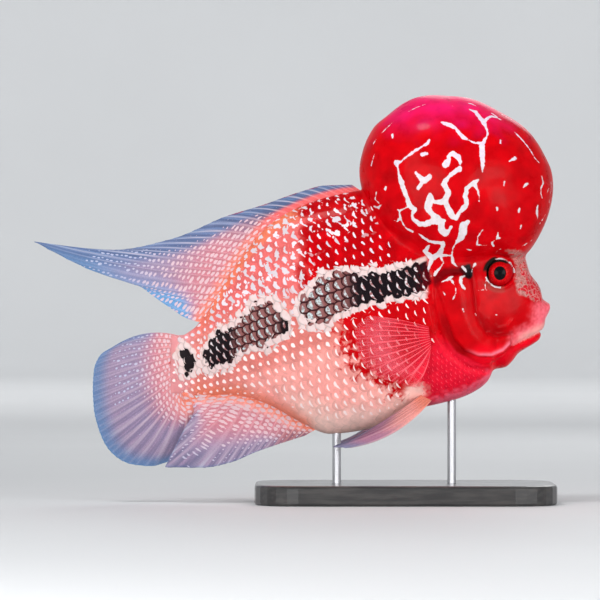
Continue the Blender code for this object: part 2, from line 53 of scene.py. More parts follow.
# Sections across the body from tail to snout: x, back, belly, half width, squareness
BODY_SECTIONS = (
    (-133.0, 100.8, 65.2, 3.4, 2.2),
    (-126.0, 105.5, 64.4, 5.6, 2.1),
    (-118.0, 116.0, 64.3, 8.4, 2.0),
    (-105.0, 137.3, 64.6, 13.0, 1.9),
    (-92.0, 155.8, 62.3, 17.5, 1.85),
    (-81.0, 167.4, 58.4, 21.0, 1.85),
    (-63.0, 178.0, 48.6, 25.5, 1.85),
    (-45.0, 184.0, 41.4, 28.0, 1.85),
    (-28.0, 187.3, 43.2, 29.5, 1.9),
    (-12.0, 188.0, 47.4, 30.3, 1.95),
    (5.0, 186.0, 55.9, 30.5, 2.0),
    (21.0, 181.0, 59.7, 30.0, 2.1),
    (33.0, 175.0, 63.0, 29.0, 2.2),
    (43.8, 168.0, 68.2, 27.5, 2.3),
    (50.4, 163.5, 74.2, 26.0, 2.3),
    (53.0, 161.5, 80.0, 25.2, 2.3),
    (60.0, 156.0, 81.4, 23.6, 2.3),
    (64.0, 153.0, 84.8, 22.4, 2.3),
    (68.4, 150.0, 90.4, 20.9, 2.3),
    (71.6, 147.6, 92.6, 19.6, 2.3),
    (75.0, 137.6, 95.0, 18.0, 2.3),
    (78.8, 132.7, 98.4, 16.0, 2.3),
    (81.2, 128.4, 101.6, 14.6, 2.2),
    (82.4, 122.6, 104.4, 13.4, 2.1),
    (84.1, 121.3, 110.4, 11.6, 2.0),
    (86.2, 120.0, 114.4, 8.6, 2.0),
    (87.2, 119.2, 117.0, 4.4, 2.0),
)
BODY_END_X = BODY_SECTIONS[0][0]

# Nuchal hump: its centre, half width, and its side outline as degrees up from the front and radius
HUMP_CENTRE = (30.0, 194.0)
HUMP_HALF_WIDTH = 42.0
HUMP_FOOT_SQUARENESS = 2.9  # its lower half is fuller at the sides, so that it runs on into the cheeks
HUMP_OUTLINE = (
    (-62.0, 53.6), (-47.0, 61.8), (-30.0, 60.2), (0.0, 58.6), (30.0, 52.9), (60.0, 48.8), (90.0, 50.2),
    (118.0, 54.6), (137.0, 56.3), (148.0, 58.3), (170.0, 57.8), (188.0, 55.6), (208.0, 53.6),
    (240.0, 54.0), (270.0, 53.0), (298.0, 53.6),
)

# Gill cover: plate outline and the edge of the membrane round it, side view
GILL_PLATE = (
    (38.7, 134.4), (41.6, 119.0), (44.0, 108.6), (47.5, 102.6), (53.0, 101.0), (62.0, 101.6),
    (62.0, 95.6), (58.0, 91.4), (51.0, 88.6), (43.0, 88.8), (35.0, 92.2), (29.0, 98.6), (25.4, 109.0),
    (21.4, 119.6), (18.4, 128.6), (20.6, 134.4), (30.0, 136.6),
)
GILL_MEMBRANE = (
    (39.1, 135.2), (42.3, 119.2), (44.7, 108.9), (48.0, 103.3), (53.0, 101.8), (62.7, 102.4),
    (62.8, 95.2), (57.6, 88.6), (50.0, 83.8), (41.5, 84.6), (32.0, 88.6), (24.4, 95.2), (20.0, 106.5),
    (17.0, 118.2), (16.6, 128.8), (19.6, 135.4), (30.0, 137.4),
)

# Fins: each row is a ray's number, its root and its tip, and how far it bows to its left, mm
DORSAL_RAYS = (
    (0, -26.5, (-31.8, 191.0), 0.0),
    (3, -36.0, (-48.0, 190.6), -0.5),
    (6, -51.0, (-64.2, 186.4), -0.5),
    (9, -66.0, (-85.8, 178.8), -0.8),
    (12, -81.0, (-108.0, 172.0), -1.5),
    (15, -91.8, (-141.0, 158.4), -2.0),
    (18, -100.2, (-177.0, 152.0), -2.0),
    (21, -106.2, (-223.8, 157.2), 4.0),
    (23, -112.2, (-187.2, 139.0), 3.0),
    (25, -117.0, (-163.0, 132.0), 2.0),
    (26, -120.5, (-148.0, 121.8), 1.5),
    (27, -123.2, (-134.2, 112.4), 0.5),
)
ANAL_RAYS = (
    (0, -54.0, (-60.0, 40.4), 0.0),
    (3, -64.0, (-73.2, 36.2), 0.5),
    (6, -74.0, (-89.4, 30.6), 0.8),
    (9, -85.0, (-106.2, 23.9), 1.0),
    (11, -94.0, (-123.0, 21.2), 1.2),
    (12, -99.0, (-144.0, 21.6), 1.5),
    (13, -105.0, (-139.5, 30.6), 1.5),
    (14, -111.5, (-133.2, 43.0), 1.2),
    (15, -117.5, (-126.5, 55.2), 0.6),
)
# The caudal fin's last rays fan forward under the tail's end
CAUDAL_ROOT_X = BODY_END_X - GAP
CAUDAL_RAYS = (
    (0, (CAUDAL_ROOT_X, 99.8), (-173.5, 95.0), -4.6),
    (2, (CAUDAL_ROOT_X, 95.6), (-183.6, 88.2), -3.2),
    (4, (CAUDAL_ROOT_X, 91.4), (-187.2, 79.0), -1.5),
    (6, (CAUDAL_ROOT_X, 87.0), (-187.8, 68.0), 0.0),
    (8, (CAUDAL_ROOT_X, 82.6), (-187.2, 56.6), 0.6),
    (10, (CAUDAL_ROOT_X, 78.2), (-184.2, 43.8), 1.2),
    (12, (CAUDAL_ROOT_X, 73.8), (-177.6, 31.0), 2.0),
    (14, (CAUDAL_ROOT_X, 69.8), (-164.0, 22.8), 2.6),
    (15, (CAUDAL_ROOT_X, 67.4), (-153.0, 21.8), 3.0),
    (16, (CAUDAL_ROOT_X, 64.6), (-139.5, 26.0), 5.0),
    (17, (-129.8, 64.3), (-128.5, 38.0), 3.0),
    (18, (-125.8, 63.9), (-120.5, 50.5), 1.0),
)
PECTORAL_RAYS = (
    (0, (12.0, 106.2), (-23.0, 112.6), -1.0),
    (3, (12.2, 102.4), (-31.0, 103.8), -0.5),
    (6, (12.8, 98.6), (-29.0, 90.6), 0.5),
    (9, (13.6, 94.8), (-18.0, 76.8), 1.0),
    (12, (14.6, 91.2), (5.6, 69.6), 1.5),
)
PELVIC_RAYS = (
    (0, (14.6, 60.6), (-33.0, 33.4), 5.0),
    (1, (13.2, 61.4), (-43.8, 34.2), 4.0),
    (3, (10.6, 62.8), (-33.5, 38.6), 1.6),
    (5, (8.0, 64.2), (-24.0, 43.8), 0.6),
)
DORSAL_SWAY = 5.0  # how far each fin's tips stand off the mid plane, +Y away from the right side
ANAL_SWAY = -7.0
CAUDAL_SWAY = 8.0
PECTORAL_SPREAD = 13.0
PELVIC_SPREAD = 13.0
FULL_SWAY_LENGTH = 60.0  # shorter rays sway less

HUMP_MARKS = (
    ((38.1, 235.3, 0.6), (41.3, 234.1, 1.6), (43.4, 231.3, 1.6), (45.9, 228.1, 2.1), (47.5, 224.5, 1.0),
     (48.5, 220.9, 0.6), (47.3, 217.7, 1.0), (45.7, 215.3, 1.4), (44.7, 212.4, 1.9), (44.9, 207.6, 2.0),
     (45.3, 202.8, 1.4), (45.1, 197.6, 0.4)),
    ((45.3, 214.9, 1.1), (40.9, 214.7, 0.8), (36.9, 216.7, 0.7), (33.6, 218.5, 1.6), (31.6, 220.5, 1.4),
     (29.5, 223.5, 1.0), (26.4, 225.5, 1.8), (22.8, 226.5, 1.3), (21.2, 227.3, 0.6)),
    ((46.5, 227.7, 1.6), (48.9, 230.5, 1.1), (51.7, 231.3, 1.1), (54.5, 230.5, 1.0), (57.8, 228.9, 0.3)),
    ((50.1, 234.0, 0.5), (52.5, 232.4, 0.9), (54.9, 230.9, 0.6)),
    ((37.3, 239.4, 0.4), (39.7, 238.8, 0.8), (42.1, 237.5, 0.6)),
    ((56.9, 233.3, 0.3), (61.0, 231.3, 0.6), (65.4, 228.7, 0.4)),
    ((63.0, 223.9, 0.3), (66.6, 220.1, 0.7), (69.8, 216.9, 0.8), (73.8, 211.6, 0.6), (77.0, 206.4, 0.6),
     (79.5, 203.6, 0.5)),
    ((81.1, 195.6, 0.5), (81.9, 191.5, 0.9), (80.4, 188.3, 0.6), (80.4, 185.1, 0.8), (81.2, 182.7, 0.6)),
    ((85.5, 188.7, 0.4), (84.3, 185.5, 0.4)),
    ((87.1, 195.6, 0.3), (87.1, 188.3, 0.4), (85.5, 177.9, 0.3)),
    ((78.4, 178.0, 0.7), (77.9, 174.3, 1.4), (78.5, 170.0, 0.3)),
    ((83.5, 172.7, 0.4), (81.5, 169.4, 0.6), (79.7, 167.2, 0.4)),
    ((78.6, 160.6, 0.2), (74.6, 157.0, 0.4), (70.6, 154.6, 0.4), (67.0, 152.8, 0.2)),
    ((56.1, 216.5, 0.7), (56.0, 214.9, 0.7)),
    ((58.1, 191.9, 1.0), (57.8, 189.8, 0.6)),
    ((64.8, 206.0, 1.1), (61.1, 204.0, 0.6)),
    ((72.2, 191.1, 0.8), (70.2, 189.5, 1.0), (69.0, 188.3, 0.3)),
    ((53.9, 176.4, 0.7), (53.8, 174.5, 0.6)),
    ((67.2, 175.9, 0.9), (66.8, 174.0, 0.8)),
    ((68.4, 166.0, 0.7), (67.7, 164.2, 0.6)),
    ((-8.1, 220.1, 1.0), (-8.0, 218.2, 0.8)),
    ((-12.0, 189.3, 0.6), (-12.3, 187.9, 1.0)),
    ((9.5, 207.9, 1.3), (12.1, 208.7, 1.4)),
    ((27.5, 237.4, 0.6), (28.0, 237.4, 0.5)),
    ((13.7, 216.6, 0.9), (12.8, 214.7, 1.1), (9.5, 212.8, 0.7), (5.5, 210.4, 1.1), (0.7, 207.1, 0.7),
     (-2.9, 204.0, 0.8), (-6.0, 203.6, 1.6), (-4.9, 200.2, 0.7), (-4.4, 196.4, 1.1), (-2.9, 191.5, 1.9),
     (-1.5, 187.1, 1.8), (0.4, 182.3, 1.4), (1.7, 177.9, 1.8), (4.9, 175.5, 1.5), (3.3, 172.4, 1.0),
     (4.1, 169.7, 1.2), (7.5, 167.0, 1.8), (11.3, 166.6, 1.9), (15.2, 168.5, 1.9), (19.2, 168.6, 2.7),
     (22.4, 168.6, 1.0)),
    ((1.1, 176.9, 0.7), (-2.5, 175.3, 0.6), (-4.3, 174.5, 0.5), (-6.7, 177.7, 0.2)),
    ((-4.0, 174.3, 0.6), (-3.5, 170.7, 1.0), (-5.3, 168.2, 0.6), (-7.7, 169.4, 0.2)),
    ((-3.5, 170.5, 0.7), (-1.7, 166.6, 0.8), (0.3, 164.2, 0.8), (3.6, 162.5, 1.0)),
    ((18.8, 239.3, 0.2), (12.8, 238.8, 0.3), (6.3, 236.5, 0.3), (0.7, 233.7, 0.2)),
    ((-6.9, 228.5, 0.3), (-9.7, 225.9, 0.6), (-14.4, 221.3, 0.3)),
    ((-17.4, 217.9, 0.2), (-19.0, 215.5, 0.6), (-20.2, 212.4, 0.3)),
    ((-17.8, 210.8, 0.2), (-19.1, 207.2, 0.6), (-20.6, 202.0, 0.6)),
    ((5.5, 197.3, 1.1), (7.8, 194.8, 1.6), (10.2, 192.2, 2.0), (13.7, 194.6, 1.8)),
    ((9.9, 192.2, 1.6), (8.1, 189.5, 1.4), (7.1, 187.9, 1.2)),
    ((23.4, 202.2, 2.4), (25.2, 205.0, 1.3), (24.8, 207.0, 1.1), (27.4, 208.6, 1.6), (30.6, 206.4, 1.8),
     (31.8, 203.8, 1.2), (31.6, 201.4, 0.5), (31.2, 199.2, 1.8), (28.2, 197.6, 1.6), (25.4, 195.2, 1.1),
     (22.8, 191.9, 1.6), (22.2, 190.2, 2.0), (24.8, 185.5, 1.9), (23.2, 181.1, 2.0), (20.6, 179.5, 1.8),
     (16.1, 179.9, 1.4), (14.0, 184.2, 1.4), (13.6, 179.5, 2.7), (12.3, 176.3, 1.9), (15.2, 172.7, 1.8),
     (18.4, 169.4, 2.7), (20.6, 167.3, 1.9), (20.8, 163.4, 2.3), (23.2, 161.4, 2.2), (25.4, 163.4, 1.0),
     (26.4, 165.2, 1.0)),
    ((23.2, 179.9, 1.8), (24.5, 175.9, 1.9), (27.2, 171.5, 2.1), (29.3, 170.3, 1.8), (31.4, 173.5, 1.2),
     (33.8, 176.3, 1.8), (35.7, 178.5, 1.5), (34.9, 183.5, 1.7), (35.7, 187.9, 1.4), (38.9, 190.6, 1.6),
     (42.2, 192.8, 0.9)),
    ((40.5, 190.1, 1.4), (42.5, 185.9, 0.6), (43.1, 180.1, 0.6)),
    ((36.5, 168.2, 1.2), (33.8, 165.8, 2.6), (33.3, 161.8, 2.7), (32.2, 158.6, 2.3), (29.3, 155.4, 0.7),
     (27.7, 152.2, 0.6), (27.2, 148.2, 0.7), (27.9, 144.1, 1.3), (30.6, 141.6, 0.6)),
    ((7.6, 160.9, 0.6), (9.7, 159.2, 1.1), (13.6, 156.6, 1.1), (17.6, 155.8, 1.2), (21.8, 155.6, 1.4),
     (21.6, 152.8, 1.4), (19.8, 149.1, 1.9), (15.6, 146.7, 1.9), (11.3, 150.4, 1.6), (13.4, 153.9, 1.0)),
    ((21.6, 148.2, 1.2), (26.6, 148.2, 0.7)),
    ((15.3, 145.7, 1.5), (13.7, 141.7, 1.1), (13.2, 139.2, 0.6), (14.9, 135.9, 0.2)),
    ((20.8, 146.7, 0.8), (22.4, 144.1, 0.6), (20.4, 140.9, 0.5), (17.7, 138.3, 1.2), (16.8, 136.4, 0.6)),
    ((45.4, 163.6, 0.3), (42.5, 159.4, 0.6), (42.1, 154.7, 0.7), (44.9, 154.1, 0.6), (47.9, 154.3, 0.3)),
    ((54.4, 162.2, 0.5), (53.9, 158.8, 0.8), (55.9, 158.4, 0.6)),
    ((53.7, 158.2, 0.6), (50.9, 155.8, 0.7), (52.0, 153.8, 0.7)),
    ((56.7, 152.3, 0.4), (54.5, 151.4, 0.6), (53.6, 149.6, 0.3)),
    ((35.7, 151.9, 0.6), (38.6, 151.5, 0.6)),
    ((-17.6, 185.9, 0.6), (-18.3, 181.7, 0.7), (-16.0, 179.3, 0.4)),
    ((-20.4, 178.0, 0.4), (-16.3, 176.7, 1.1), (-14.7, 178.5, 0.4)),
)
FACE_MARKS = (
    ((40.9, 143.0, 1.1), (39.7, 140.7, 0.4), (38.9, 138.0, 0.3), (37.8, 134.4, 0.4)),
    ((33.5, 141.7, 0.8), (35.1, 139.8, 0.9), (35.7, 138.5, 0.5)),
    ((26.9, 135.6, 1.4), (24.3, 133.7, 0.9), (20.7, 132.4, 0.3), (17.9, 131.3, 0.2)),
    ((27.2, 133.4, 0.9), (28.8, 129.9, 0.5), (29.7, 126.5, 0.6), (28.5, 123.6, 0.7), (27.3, 121.8, 0.4)),
    ((34.8, 136.2, 0.7), (32.5, 135.0, 1.3), (32.5, 131.7, 1.3), (33.9, 129.8, 1.1), (35.4, 127.6, 0.4),
     (36.5, 125.2, 0.2)),
    ((21.9, 126.5, 0.5), (22.9, 124.8, 0.5)),
    ((33.7, 116.2, 0.7), (34.2, 115.0, 0.6)),
    ((41.2, 113.7, 0.5), (41.6, 112.7, 0.5)),
    ((53.6, 112.9, 0.6), (54.0, 112.9, 0.6)),
    ((47.9, 133.8, 0.5), (47.1, 130.5, 0.5), (47.4, 128.3, 0.6), (43.8, 127.4, 0.5), (41.1, 127.8, 0.3)),
    ((47.4, 128.2, 0.7), (48.8, 126.4, 0.5), (49.7, 125.5, 0.2)),
)

FIN_ROOT_HALF = 0.85  # half the solid ray's thickness at the root of a paired fin
HUMP_CREASE = (
    (-60.0, 196.0), (-26.0, 189.5), (-19.8, 179.0), (-12.0, 161.0), (-1.8, 149.6), (15.0, 141.6),
    (30.0, 139.8), (48.0, 141.6), (60.0, 144.6), (71.7, 147.6),
)
GILL_SLIT_LINE = ((17.4, 121.8), (22.2, 100.8), (30.0, 90.6), (42.0, 84.6), (51.2, 80.0))
GILL_EDGE = ((30.0, 97.4), (36.0, 92.0), (43.0, 89.2), (51.0, 89.2), (58.0, 92.2), (62.0, 96.0))
HEAD_PATCH = (
    (15.0, 141.6), *GILL_SLIT_LINE, (52.0, 60.0), (110.0, 60.0), (110.0, 260.0), (-60.0, 260.0),
    (-60.0, 196.0), (-26.0, 189.5), (-19.8, 179.0), (-12.0, 161.0), (-1.8, 149.6),
)

EYE_CENTRE = (56.0, 137.8)
EYE_RADIUS = 8.2
EYE_DEPTH = 6.0
EYE_SUNK = 3.4
IRIS_RADIUS = 6.7
PUPIL_RADII = (3.6, 4.1)
SOCKET_DEPTH = 5.0
ORBIT_RIM = (0.9, EYE_RADIUS + 0.5, 0.9)  # height, distance from the eye's centre and width
MOUTH_LINE = ((110.0, 116.0), (82.0, 103.0), (72.6, 98.7), (64.2, 94.5))
UPPER_LIP = (0.5, 3.2, 2.4)  # height, distance from the mouth line and width
LOWER_LIP = (1.3, 2.6, 1.9)
MOUTH_SLIT = (-1.5, 0.0, 0.7)
LIP_FADE = 5.0
NOSTRIL = (71.0, 128.6)
NOSTRIL_PIT = (-1.6, 0.0, 0.9)
# Folds of the face as lines, each with its height and width
PREOPERCLE = (
    (38.5, 139.0), (40.9, 123.6), (41.9, 115.0), (44.9, 106.4), (49.2, 101.2), (55.0, 100.2),
    (63.5, 102.0),
)
CHEEK_FOLD = ((49.0, 110.6), (55.0, 104.8), (60.4, 106.2), (63.4, 109.4))
GULAR_FOLD = ((16.0, 118.0), (19.5, 101.0), (27.0, 88.5), (38.0, 80.6), (49.0, 79.4))
GULAR_FOLD_INNER = ((22.0, 106.0), (29.0, 93.0), (40.0, 85.6), (51.0, 85.0))
FACE_FOLDS = (
    (PREOPERCLE, -1.3, 1.1),
    (CHEEK_FOLD, 0.45, 0.9),
    (GULAR_FOLD, -1.5, 1.5),
    (GULAR_FOLD_INNER, -0.5, 1.2),
)
PLATE_RAISE = 1.9
MEMBRANE_RAISE = 1.0
SNOUT_PATCH = (
    (59.0, 151.5), (69.0, 151.5), (72.5, 147.1), (75.2, 139.8), (81.6, 133.2), (84.0, 127.0),
    (82.6, 121.2), (79.0, 120.0), (73.8, 122.5), (66.8, 125.6), (64.6, 133.2), (65.4, 141.6),
    (63.4, 147.0),
)
LIP_PATCH = (
    (90.0, 121.0), (80.0, 121.5), (76.4, 116.6), (75.0, 108.0), (66.6, 103.4), (63.0, 99.0),
    (64.0, 91.6), (72.6, 95.7), (82.0, 100.0), (92.0, 105.0),
)

# The black band along the flank, in two lengths and a few spots
BAND_FRONT = (
    (12.6, 145.0), (-1.2, 139.8), (-15.0, 138.6), (-28.8, 136.2), (-39.0, 138.0), (-48.0, 137.0),
    (-55.2, 131.4), (-61.2, 123.0), (-63.0, 115.8), (-61.8, 109.2), (-48.0, 108.6), (-40.2, 114.0),
    (-31.2, 116.4), (-20.4, 121.2), (-10.2, 123.0), (0.0, 125.4), (10.2, 126.6), (15.6, 132.0),
)
BAND_REAR = (
    (-92.2, 118.8), (-79.9, 121.1), (-73.8, 114.2), (-70.0, 109.6), (-72.2, 102.7), (-76.8, 101.2),
    (-86.0, 93.6), (-93.7, 94.3), (-102.8, 86.6), (-115.9, 80.5), (-120.5, 83.6), (-121.2, 88.2),
    (-115.9, 98.2), (-108.2, 104.8), (-100.6, 106.2), (-94.7, 113.4),
)
TAIL_SPOT = (
    (-133.1, 94.1), (-128.5, 89.9), (-125.6, 83.1), (-127.7, 80.6), (-130.2, 78.1), (-132.7, 82.0),
    (-134.6, 90.7),
)
HEAD_SPOT = ((31.5, 141.0), (38.5, 143.4), (40.2, 137.2), (37.4, 133.6), (33.0, 137.2))
# The dark stain behind the eye, which leads into the band
NECK_SHADE = ((15.0, 132.0), (24.0, 138.0), (36.0, 139.5))
BAND_BORDER = 3.6
BORDER_TO = (14.0, 10.5)  # the pale border fades out between these, towards the gill cover
PALE_PATCH = (5.5, 66.5)  # a smooth pale place over the root of the pelvic fin
PATCH_SHAPE = 1.3  # its length by its height
BLACK_FROM = (-40.0, -28.0)  # the front length is black ahead of here and grey-brown behind
FLANK_RED_FROM = (-68.0, -57.0)
BELLY_RED_LINE = ((-46.0, 112.0), (-32.0, 78.0), (-2.0, 62.0))

AXIS_DEGREES = 19.4  # how far the body's axis rises to the front
AXIS_FOOT = (-130.0, 86.0)
TAIL_FLESH_END = -141.0  # where the flesh runs out over the root of the caudal fin
COLUMNS_TO_X = 60.0  # no column of scales is laid beyond
SCALE_PITCH = 5.2  # between columns of scales
SCALE_HEIGHT = 6.7  # between scales in a column
SCALE_LENGTH = 10.6
SCALE_HALF_WIDTH = 4.7
BREAST_SHARE = 0.52  # the breast's scales against the flank's
BREAST_TOP = 92.0
DOT_PITCH = 2.8  # between dots along a fin's rays
OUTSIDE = -9.0  # depth in a mark, for places far from it
# One ray more, which closes the anal fin against the caudal fin
ANAL_END = (16, -124.0, (-127.5, 58.5), 0.0)

VOXEL = 0.7  # size of the grid on which the skin is fused

# Linear colours
RED = (0.57, 0.0, 0.003)
DEEP_RED = (0.36, 0.0, 0.002)
TOP_SHEEN_MAGENTA = (0.80, 0.008, 0.13)
BREAST_PINK = (0.98, 0.15, 0.24)
BREAST_RED = (0.88, 0.010, 0.035)
CHIN_RED = (0.88, 0.002, 0.014)
TAIL_PINK = (0.68, 0.26, 0.27)
ROSE = (0.76, 0.13, 0.13)
SALMON = (0.72, 0.20, 0.17)
PEACH = (0.92, 0.36, 0.32)
PALE = (0.96, 0.62, 0.55)
ORANGE = (0.84, 0.20, 0.11)
SHADE_RED = (0.30, 0.0, 0.002)
MAROON = (0.06, 0.0, 0.002)
ORBIT_BLACK = (0.012, 0.010, 0.008)
ORBIT_BROWN = (0.34, 0.05, 0.04)
GILL_HIGHLIGHT_PINK = (0.90, 0.22, 0.30)
CREAM = (0.68, 0.47, 0.44)
PEARL = (0.80, 0.70, 0.75)
PINK_PEARL = (1.0, 0.78, 0.76)
BLACK = (0.010, 0.006, 0.008)
BROWN = (0.22, 0.075, 0.068)
GREY_BLUE = (0.56, 0.64, 0.66)
BREAST_MARK = (0.94, 0.07, 0.12)
SNOUT_GREY = (0.42, 0.17, 0.15)
LIP_PINK = (0.97, 0.17, 0.22)
LIP_PALE = (0.98, 0.42, 0.38)
FIN_BLUE = (0.12, 0.20, 0.38)
FIN_EDGE = (0.13, 0.32, 0.60)
FIN_LAVENDER = (0.32, 0.23, 0.35)
FIN_PINK = (0.59, 0.20, 0.24)
FIN_GREY = (0.07, 0.12, 0.23)
CORAL = (0.78, 0.12, 0.12)
EDGE_WINE = (0.30, 0.015, 0.07)
ANAL_BROWN = (0.40, 0.12, 0.12)
PECTORAL_RED = (0.80, 0.006, 0.03)
PECTORAL_PINK = (0.92, 0.13, 0.19)
PECTORAL_LOW = (0.85, 0.02, 0.05)
PECTORAL_PALE = (1.0, 0.16, 0.20)
PELVIC_MAUVE = (0.55, 0.22, 0.33)
PELVIC_BLUE = (0.26, 0.24, 0.38)
SNOUT_RED = (0.62, 0.012, 0.025)
NET_PINK = (0.66, 0.33, 0.31)
SPECKLE_PINK = (0.66, 0.30, 0.28)
VEIN_GREY = (0.56, 0.47, 0.47)
VEIN_LILAC = (0.64, 0.44, 0.62)
VEIN_WHITE = (0.80, 0.76, 0.80)
LIGHT_CREAM = (0.80, 0.66, 0.66)
LIGHT_BROWN = (0.30, 0.12, 0.12)
RIM_BROWN = (0.04, 0.010, 0.012)
BLACK_WINE = (0.09, 0.0, 0.003)
DULL_PEARL = (0.22, 0.17, 0.16)
STREAK_BROWN = (0.30, 0.11, 0.11)
STREAK_PALE = (0.74, 0.66, 0.68)
STREAK_BLUE = (0.07, 0.09, 0.19)
LIT_PINK = (0.76, 0.46, 0.46)
LIT_BLUE = (0.46, 0.50, 0.60)
RAY_PALE = (0.90, 0.80, 0.86)
DOT_PINK = (0.70, 0.50, 0.54)
DASH_BLUE = (0.48, 0.50, 0.66)
IRIS_RED = (0.50, 0.0, 0.003)
SPOKE_RED = (0.66, 0.004, 0.006)
SOCKET_RED = (0.42, 0.0, 0.004)
SOCKET_BLACK = (0.010, 0.010, 0.008)
PUPIL_BLACK = (0.003, 0.003, 0.004)
LACQUER = (0.012, 0.011, 0.011)
LACQUER_GRAIN = (0.035, 0.031, 0.029)
DARK_STEEL = (0.42, 0.42, 0.44)
LIGHT_STEEL = (0.56, 0.56, 0.58)
DARK_STAGE = (0.62, 0.63, 0.64)
LIGHT_STAGE = (0.66, 0.67, 0.68)
SKY = (0.95, 0.97, 1.0)

# Fins: columns per ray, rows, thickness of ray and membrane at root and tip, where rays branch, edge's fall
DORSAL_FORM = (12, 64, 1.5, 0.5, 0.7, 0.28, 0.35, 0.01)
ANAL_FORM = (14, 56, 1.5, 0.5, 0.7, 0.28, 0.3, 0.006)
CAUDAL_FORM = (14, 64, 1.7, 0.5, 0.9, 0.28, 0.3, 0.004)
PECTORAL_FORM = (14, 44, 1.3, 0.4, 0.5, 0.22, 0.45, 0.01)
PELVIC_FORM = (18, 48, 1.6, 0.5, 0.8, 0.3, 0.3, 0.01)

FLESH_NODES = ("head", "nuchal_hump", "torso", "tail", "lower_jaw", "gill_cover_right", "gill_cover_left")
FLESH_RADIUS = (1.0, 0.3, 0.2)
FLESH = {
    "Coat_Weight": 0.055,
    "Coat_Roughness": 0.04,
    "Subsurface_Weight": 0.05,
    "Subsurface_Scale": 0.003,
    "Specular_IOR_Level": 0.025,
}

# Lamps: name, place and aim in metres, size and power
MIDDLE = (0.0, 0.0, 0.13)
LAMPS = (
    ("key", (-0.45, -0.45, 1.30), MIDDLE, 0.32, 6.0),
    ("front_left", (-1.15, -1.35, 0.50), MIDDLE, 0.8, 5.5),
    ("front_right", (1.20, -1.40, 0.55), MIDDLE, 1.1, 6.0),
    ("low_right", (0.70, -1.15, 0.20), (0.04, 0.0, 0.08), 0.7, 5.0),
    ("low_left", (-0.45, -1.20, 0.18), (-0.03, 0.0, 0.06), 0.6, 3.6),
    ("back", (0.3, 1.4, 0.9), MIDDLE, 0.8, 4.0),
)

CAMERA_X = -63.0
CAMERA_HEIGHT = 121.8
CAMERA_AWAY = 3000.0
CAMERA_LENS = 300.0
CAMERA_SENSOR = 36.0


def smooth_through(knots, values, places):
    """Values at the places, on a curve through the knots that never overshoots them."""
    knots, values = np.asarray(knots, float), np.asarray(values, float)
    places = np.clip(np.asarray(places, float), knots[0], knots[-1])
    step = np.diff(knots)
    rise = np.diff(values) / step
    slope = np.zeros(len(knots))
    slope[0], slope[-1] = rise[0], rise[-1]
    for i in range(1, len(knots) - 1):
        if rise[i - 1] * rise[i] > 0:
            before, after = 2 * step[i] + step[i - 1], step[i] + 2 * step[i - 1]
            slope[i] = (before + after) / (before / rise[i - 1] + after / rise[i])
    i = np.clip(np.searchsorted(knots, places) - 1, 0, len(step) - 1)
    t = (places - knots[i]) / step[i]
    start = values[i] * (1 + 2 * t) * (1 - t) ** 2 + values[i + 1] * t * t * (3 - 2 * t)
    return start + step[i] * (slope[i] * t * (1 - t) ** 2 - slope[i + 1] * t * t * (1 - t))


def section(x):
    """Back height, belly height, half width and squareness of the body at each x."""
    columns = list(zip(*BODY_SECTIONS))
    return [smooth_through(columns[0], column, x) for column in columns[1:]]


def half_width_at(x, z):
    """The body's half width at places of the side view."""
    back, belly, wide, square = section(x)
    middle = (back + belly) / 2
    high = np.minimum(1.0, np.abs(z - middle) / (back - middle))
    return wide * (1 - high**square) ** (1 / square)


def soft(value, low, high):
    """A smooth step from 0 at low to 1 at high."""
    t = np.clip((np.asarray(value, float) - low) / (high - low), 0, 1)
    return t * t * (3 - 2 * t)


def ridge(distance, height, place, width):
    return height * np.exp(-(((distance - place) / width) ** 2))


def line_height(line, x):
    """The height of a side-view line at each x."""
    line_x, line_z = zip(*sorted(line))
    return np.interp(x, line_x, line_z)


def round_eye(x, z):
    """Distance from the eye's centre, and the direction in degrees up from the front."""
    ahead, up = x - EYE_CENTRE[0], z - EYE_CENTRE[1]
    return np.hypot(ahead, up), np.degrees(np.arctan2(up, ahead))


def to_line(x, z, line):
    """Distance in the side view from each (x, z) to a polyline."""
    best = np.full(np.shape(x), np.inf)
    for (ax, az), (bx, bz) in zip(line, line[1:]):
        dx, dz = bx - ax, bz - az
        t = np.clip(((x - ax) * dx + (z - az) * dz) / (dx * dx + dz * dz), 0, 1)
        best = np.minimum(best, np.hypot(x - ax - t * dx, z - az - t * dz))
    return best


def depth_in(x, z, outline):
    """How far inside a closed side-view outline each (x, z) lies, negative outside."""
    outline = (*outline, outline[0])
    inside = np.zeros(np.shape(x), bool)
    for (ax, az), (bx, bz) in zip(outline, outline[1:]):
        if az != bz:
            inside ^= ((az > z) != (bz > z)) & (x < ax + (z - az) * (bx - ax) / (bz - az))
    away = to_line(x, z, outline)
    return np.where(inside, away, -away)


def lumps(points, size, seed):
    """Smooth noise from -1 to 1 at points in mm."""
    shift = Vector((seed * 37.1, seed * 11.7, seed * 5.3))
    return np.array([noise.noise(Vector(p) / size + shift) for p in points])


def add_object(name, data):
    """Puts a mesh, a lamp or a camera into the scene."""
    made = bpy.data.objects.new(name, data)
    bpy.context.scene.collection.objects.link(made)
    return made


def mesh_object(name, points, faces):
    """A mesh object from points in mm and a list of faces."""
    mesh = bpy.data.meshes.new(name)
    mesh.from_pydata([tuple(point) for point in (np.asarray(points) * MM).tolist()], [], faces)
    mesh.update()
    return add_object(name, mesh)


def read_points(mesh):
    """The mesh's points in mm."""
    values = np.empty(len(mesh.vertices) * 3, np.float32)
    mesh.vertices.foreach_get("co", values)
    return values.reshape(-1, 3).astype(float) / MM


def write_points(mesh, points):
    mesh.vertices.foreach_set("co", (points * MM).astype(np.float32).ravel())
    mesh.update()


def read_normals(mesh):
    values = np.empty(len(mesh.vertices) * 3, np.float32)
    mesh.vertex_normals.foreach_get("vector", values)
    return values.reshape(-1, 3).astype(float)


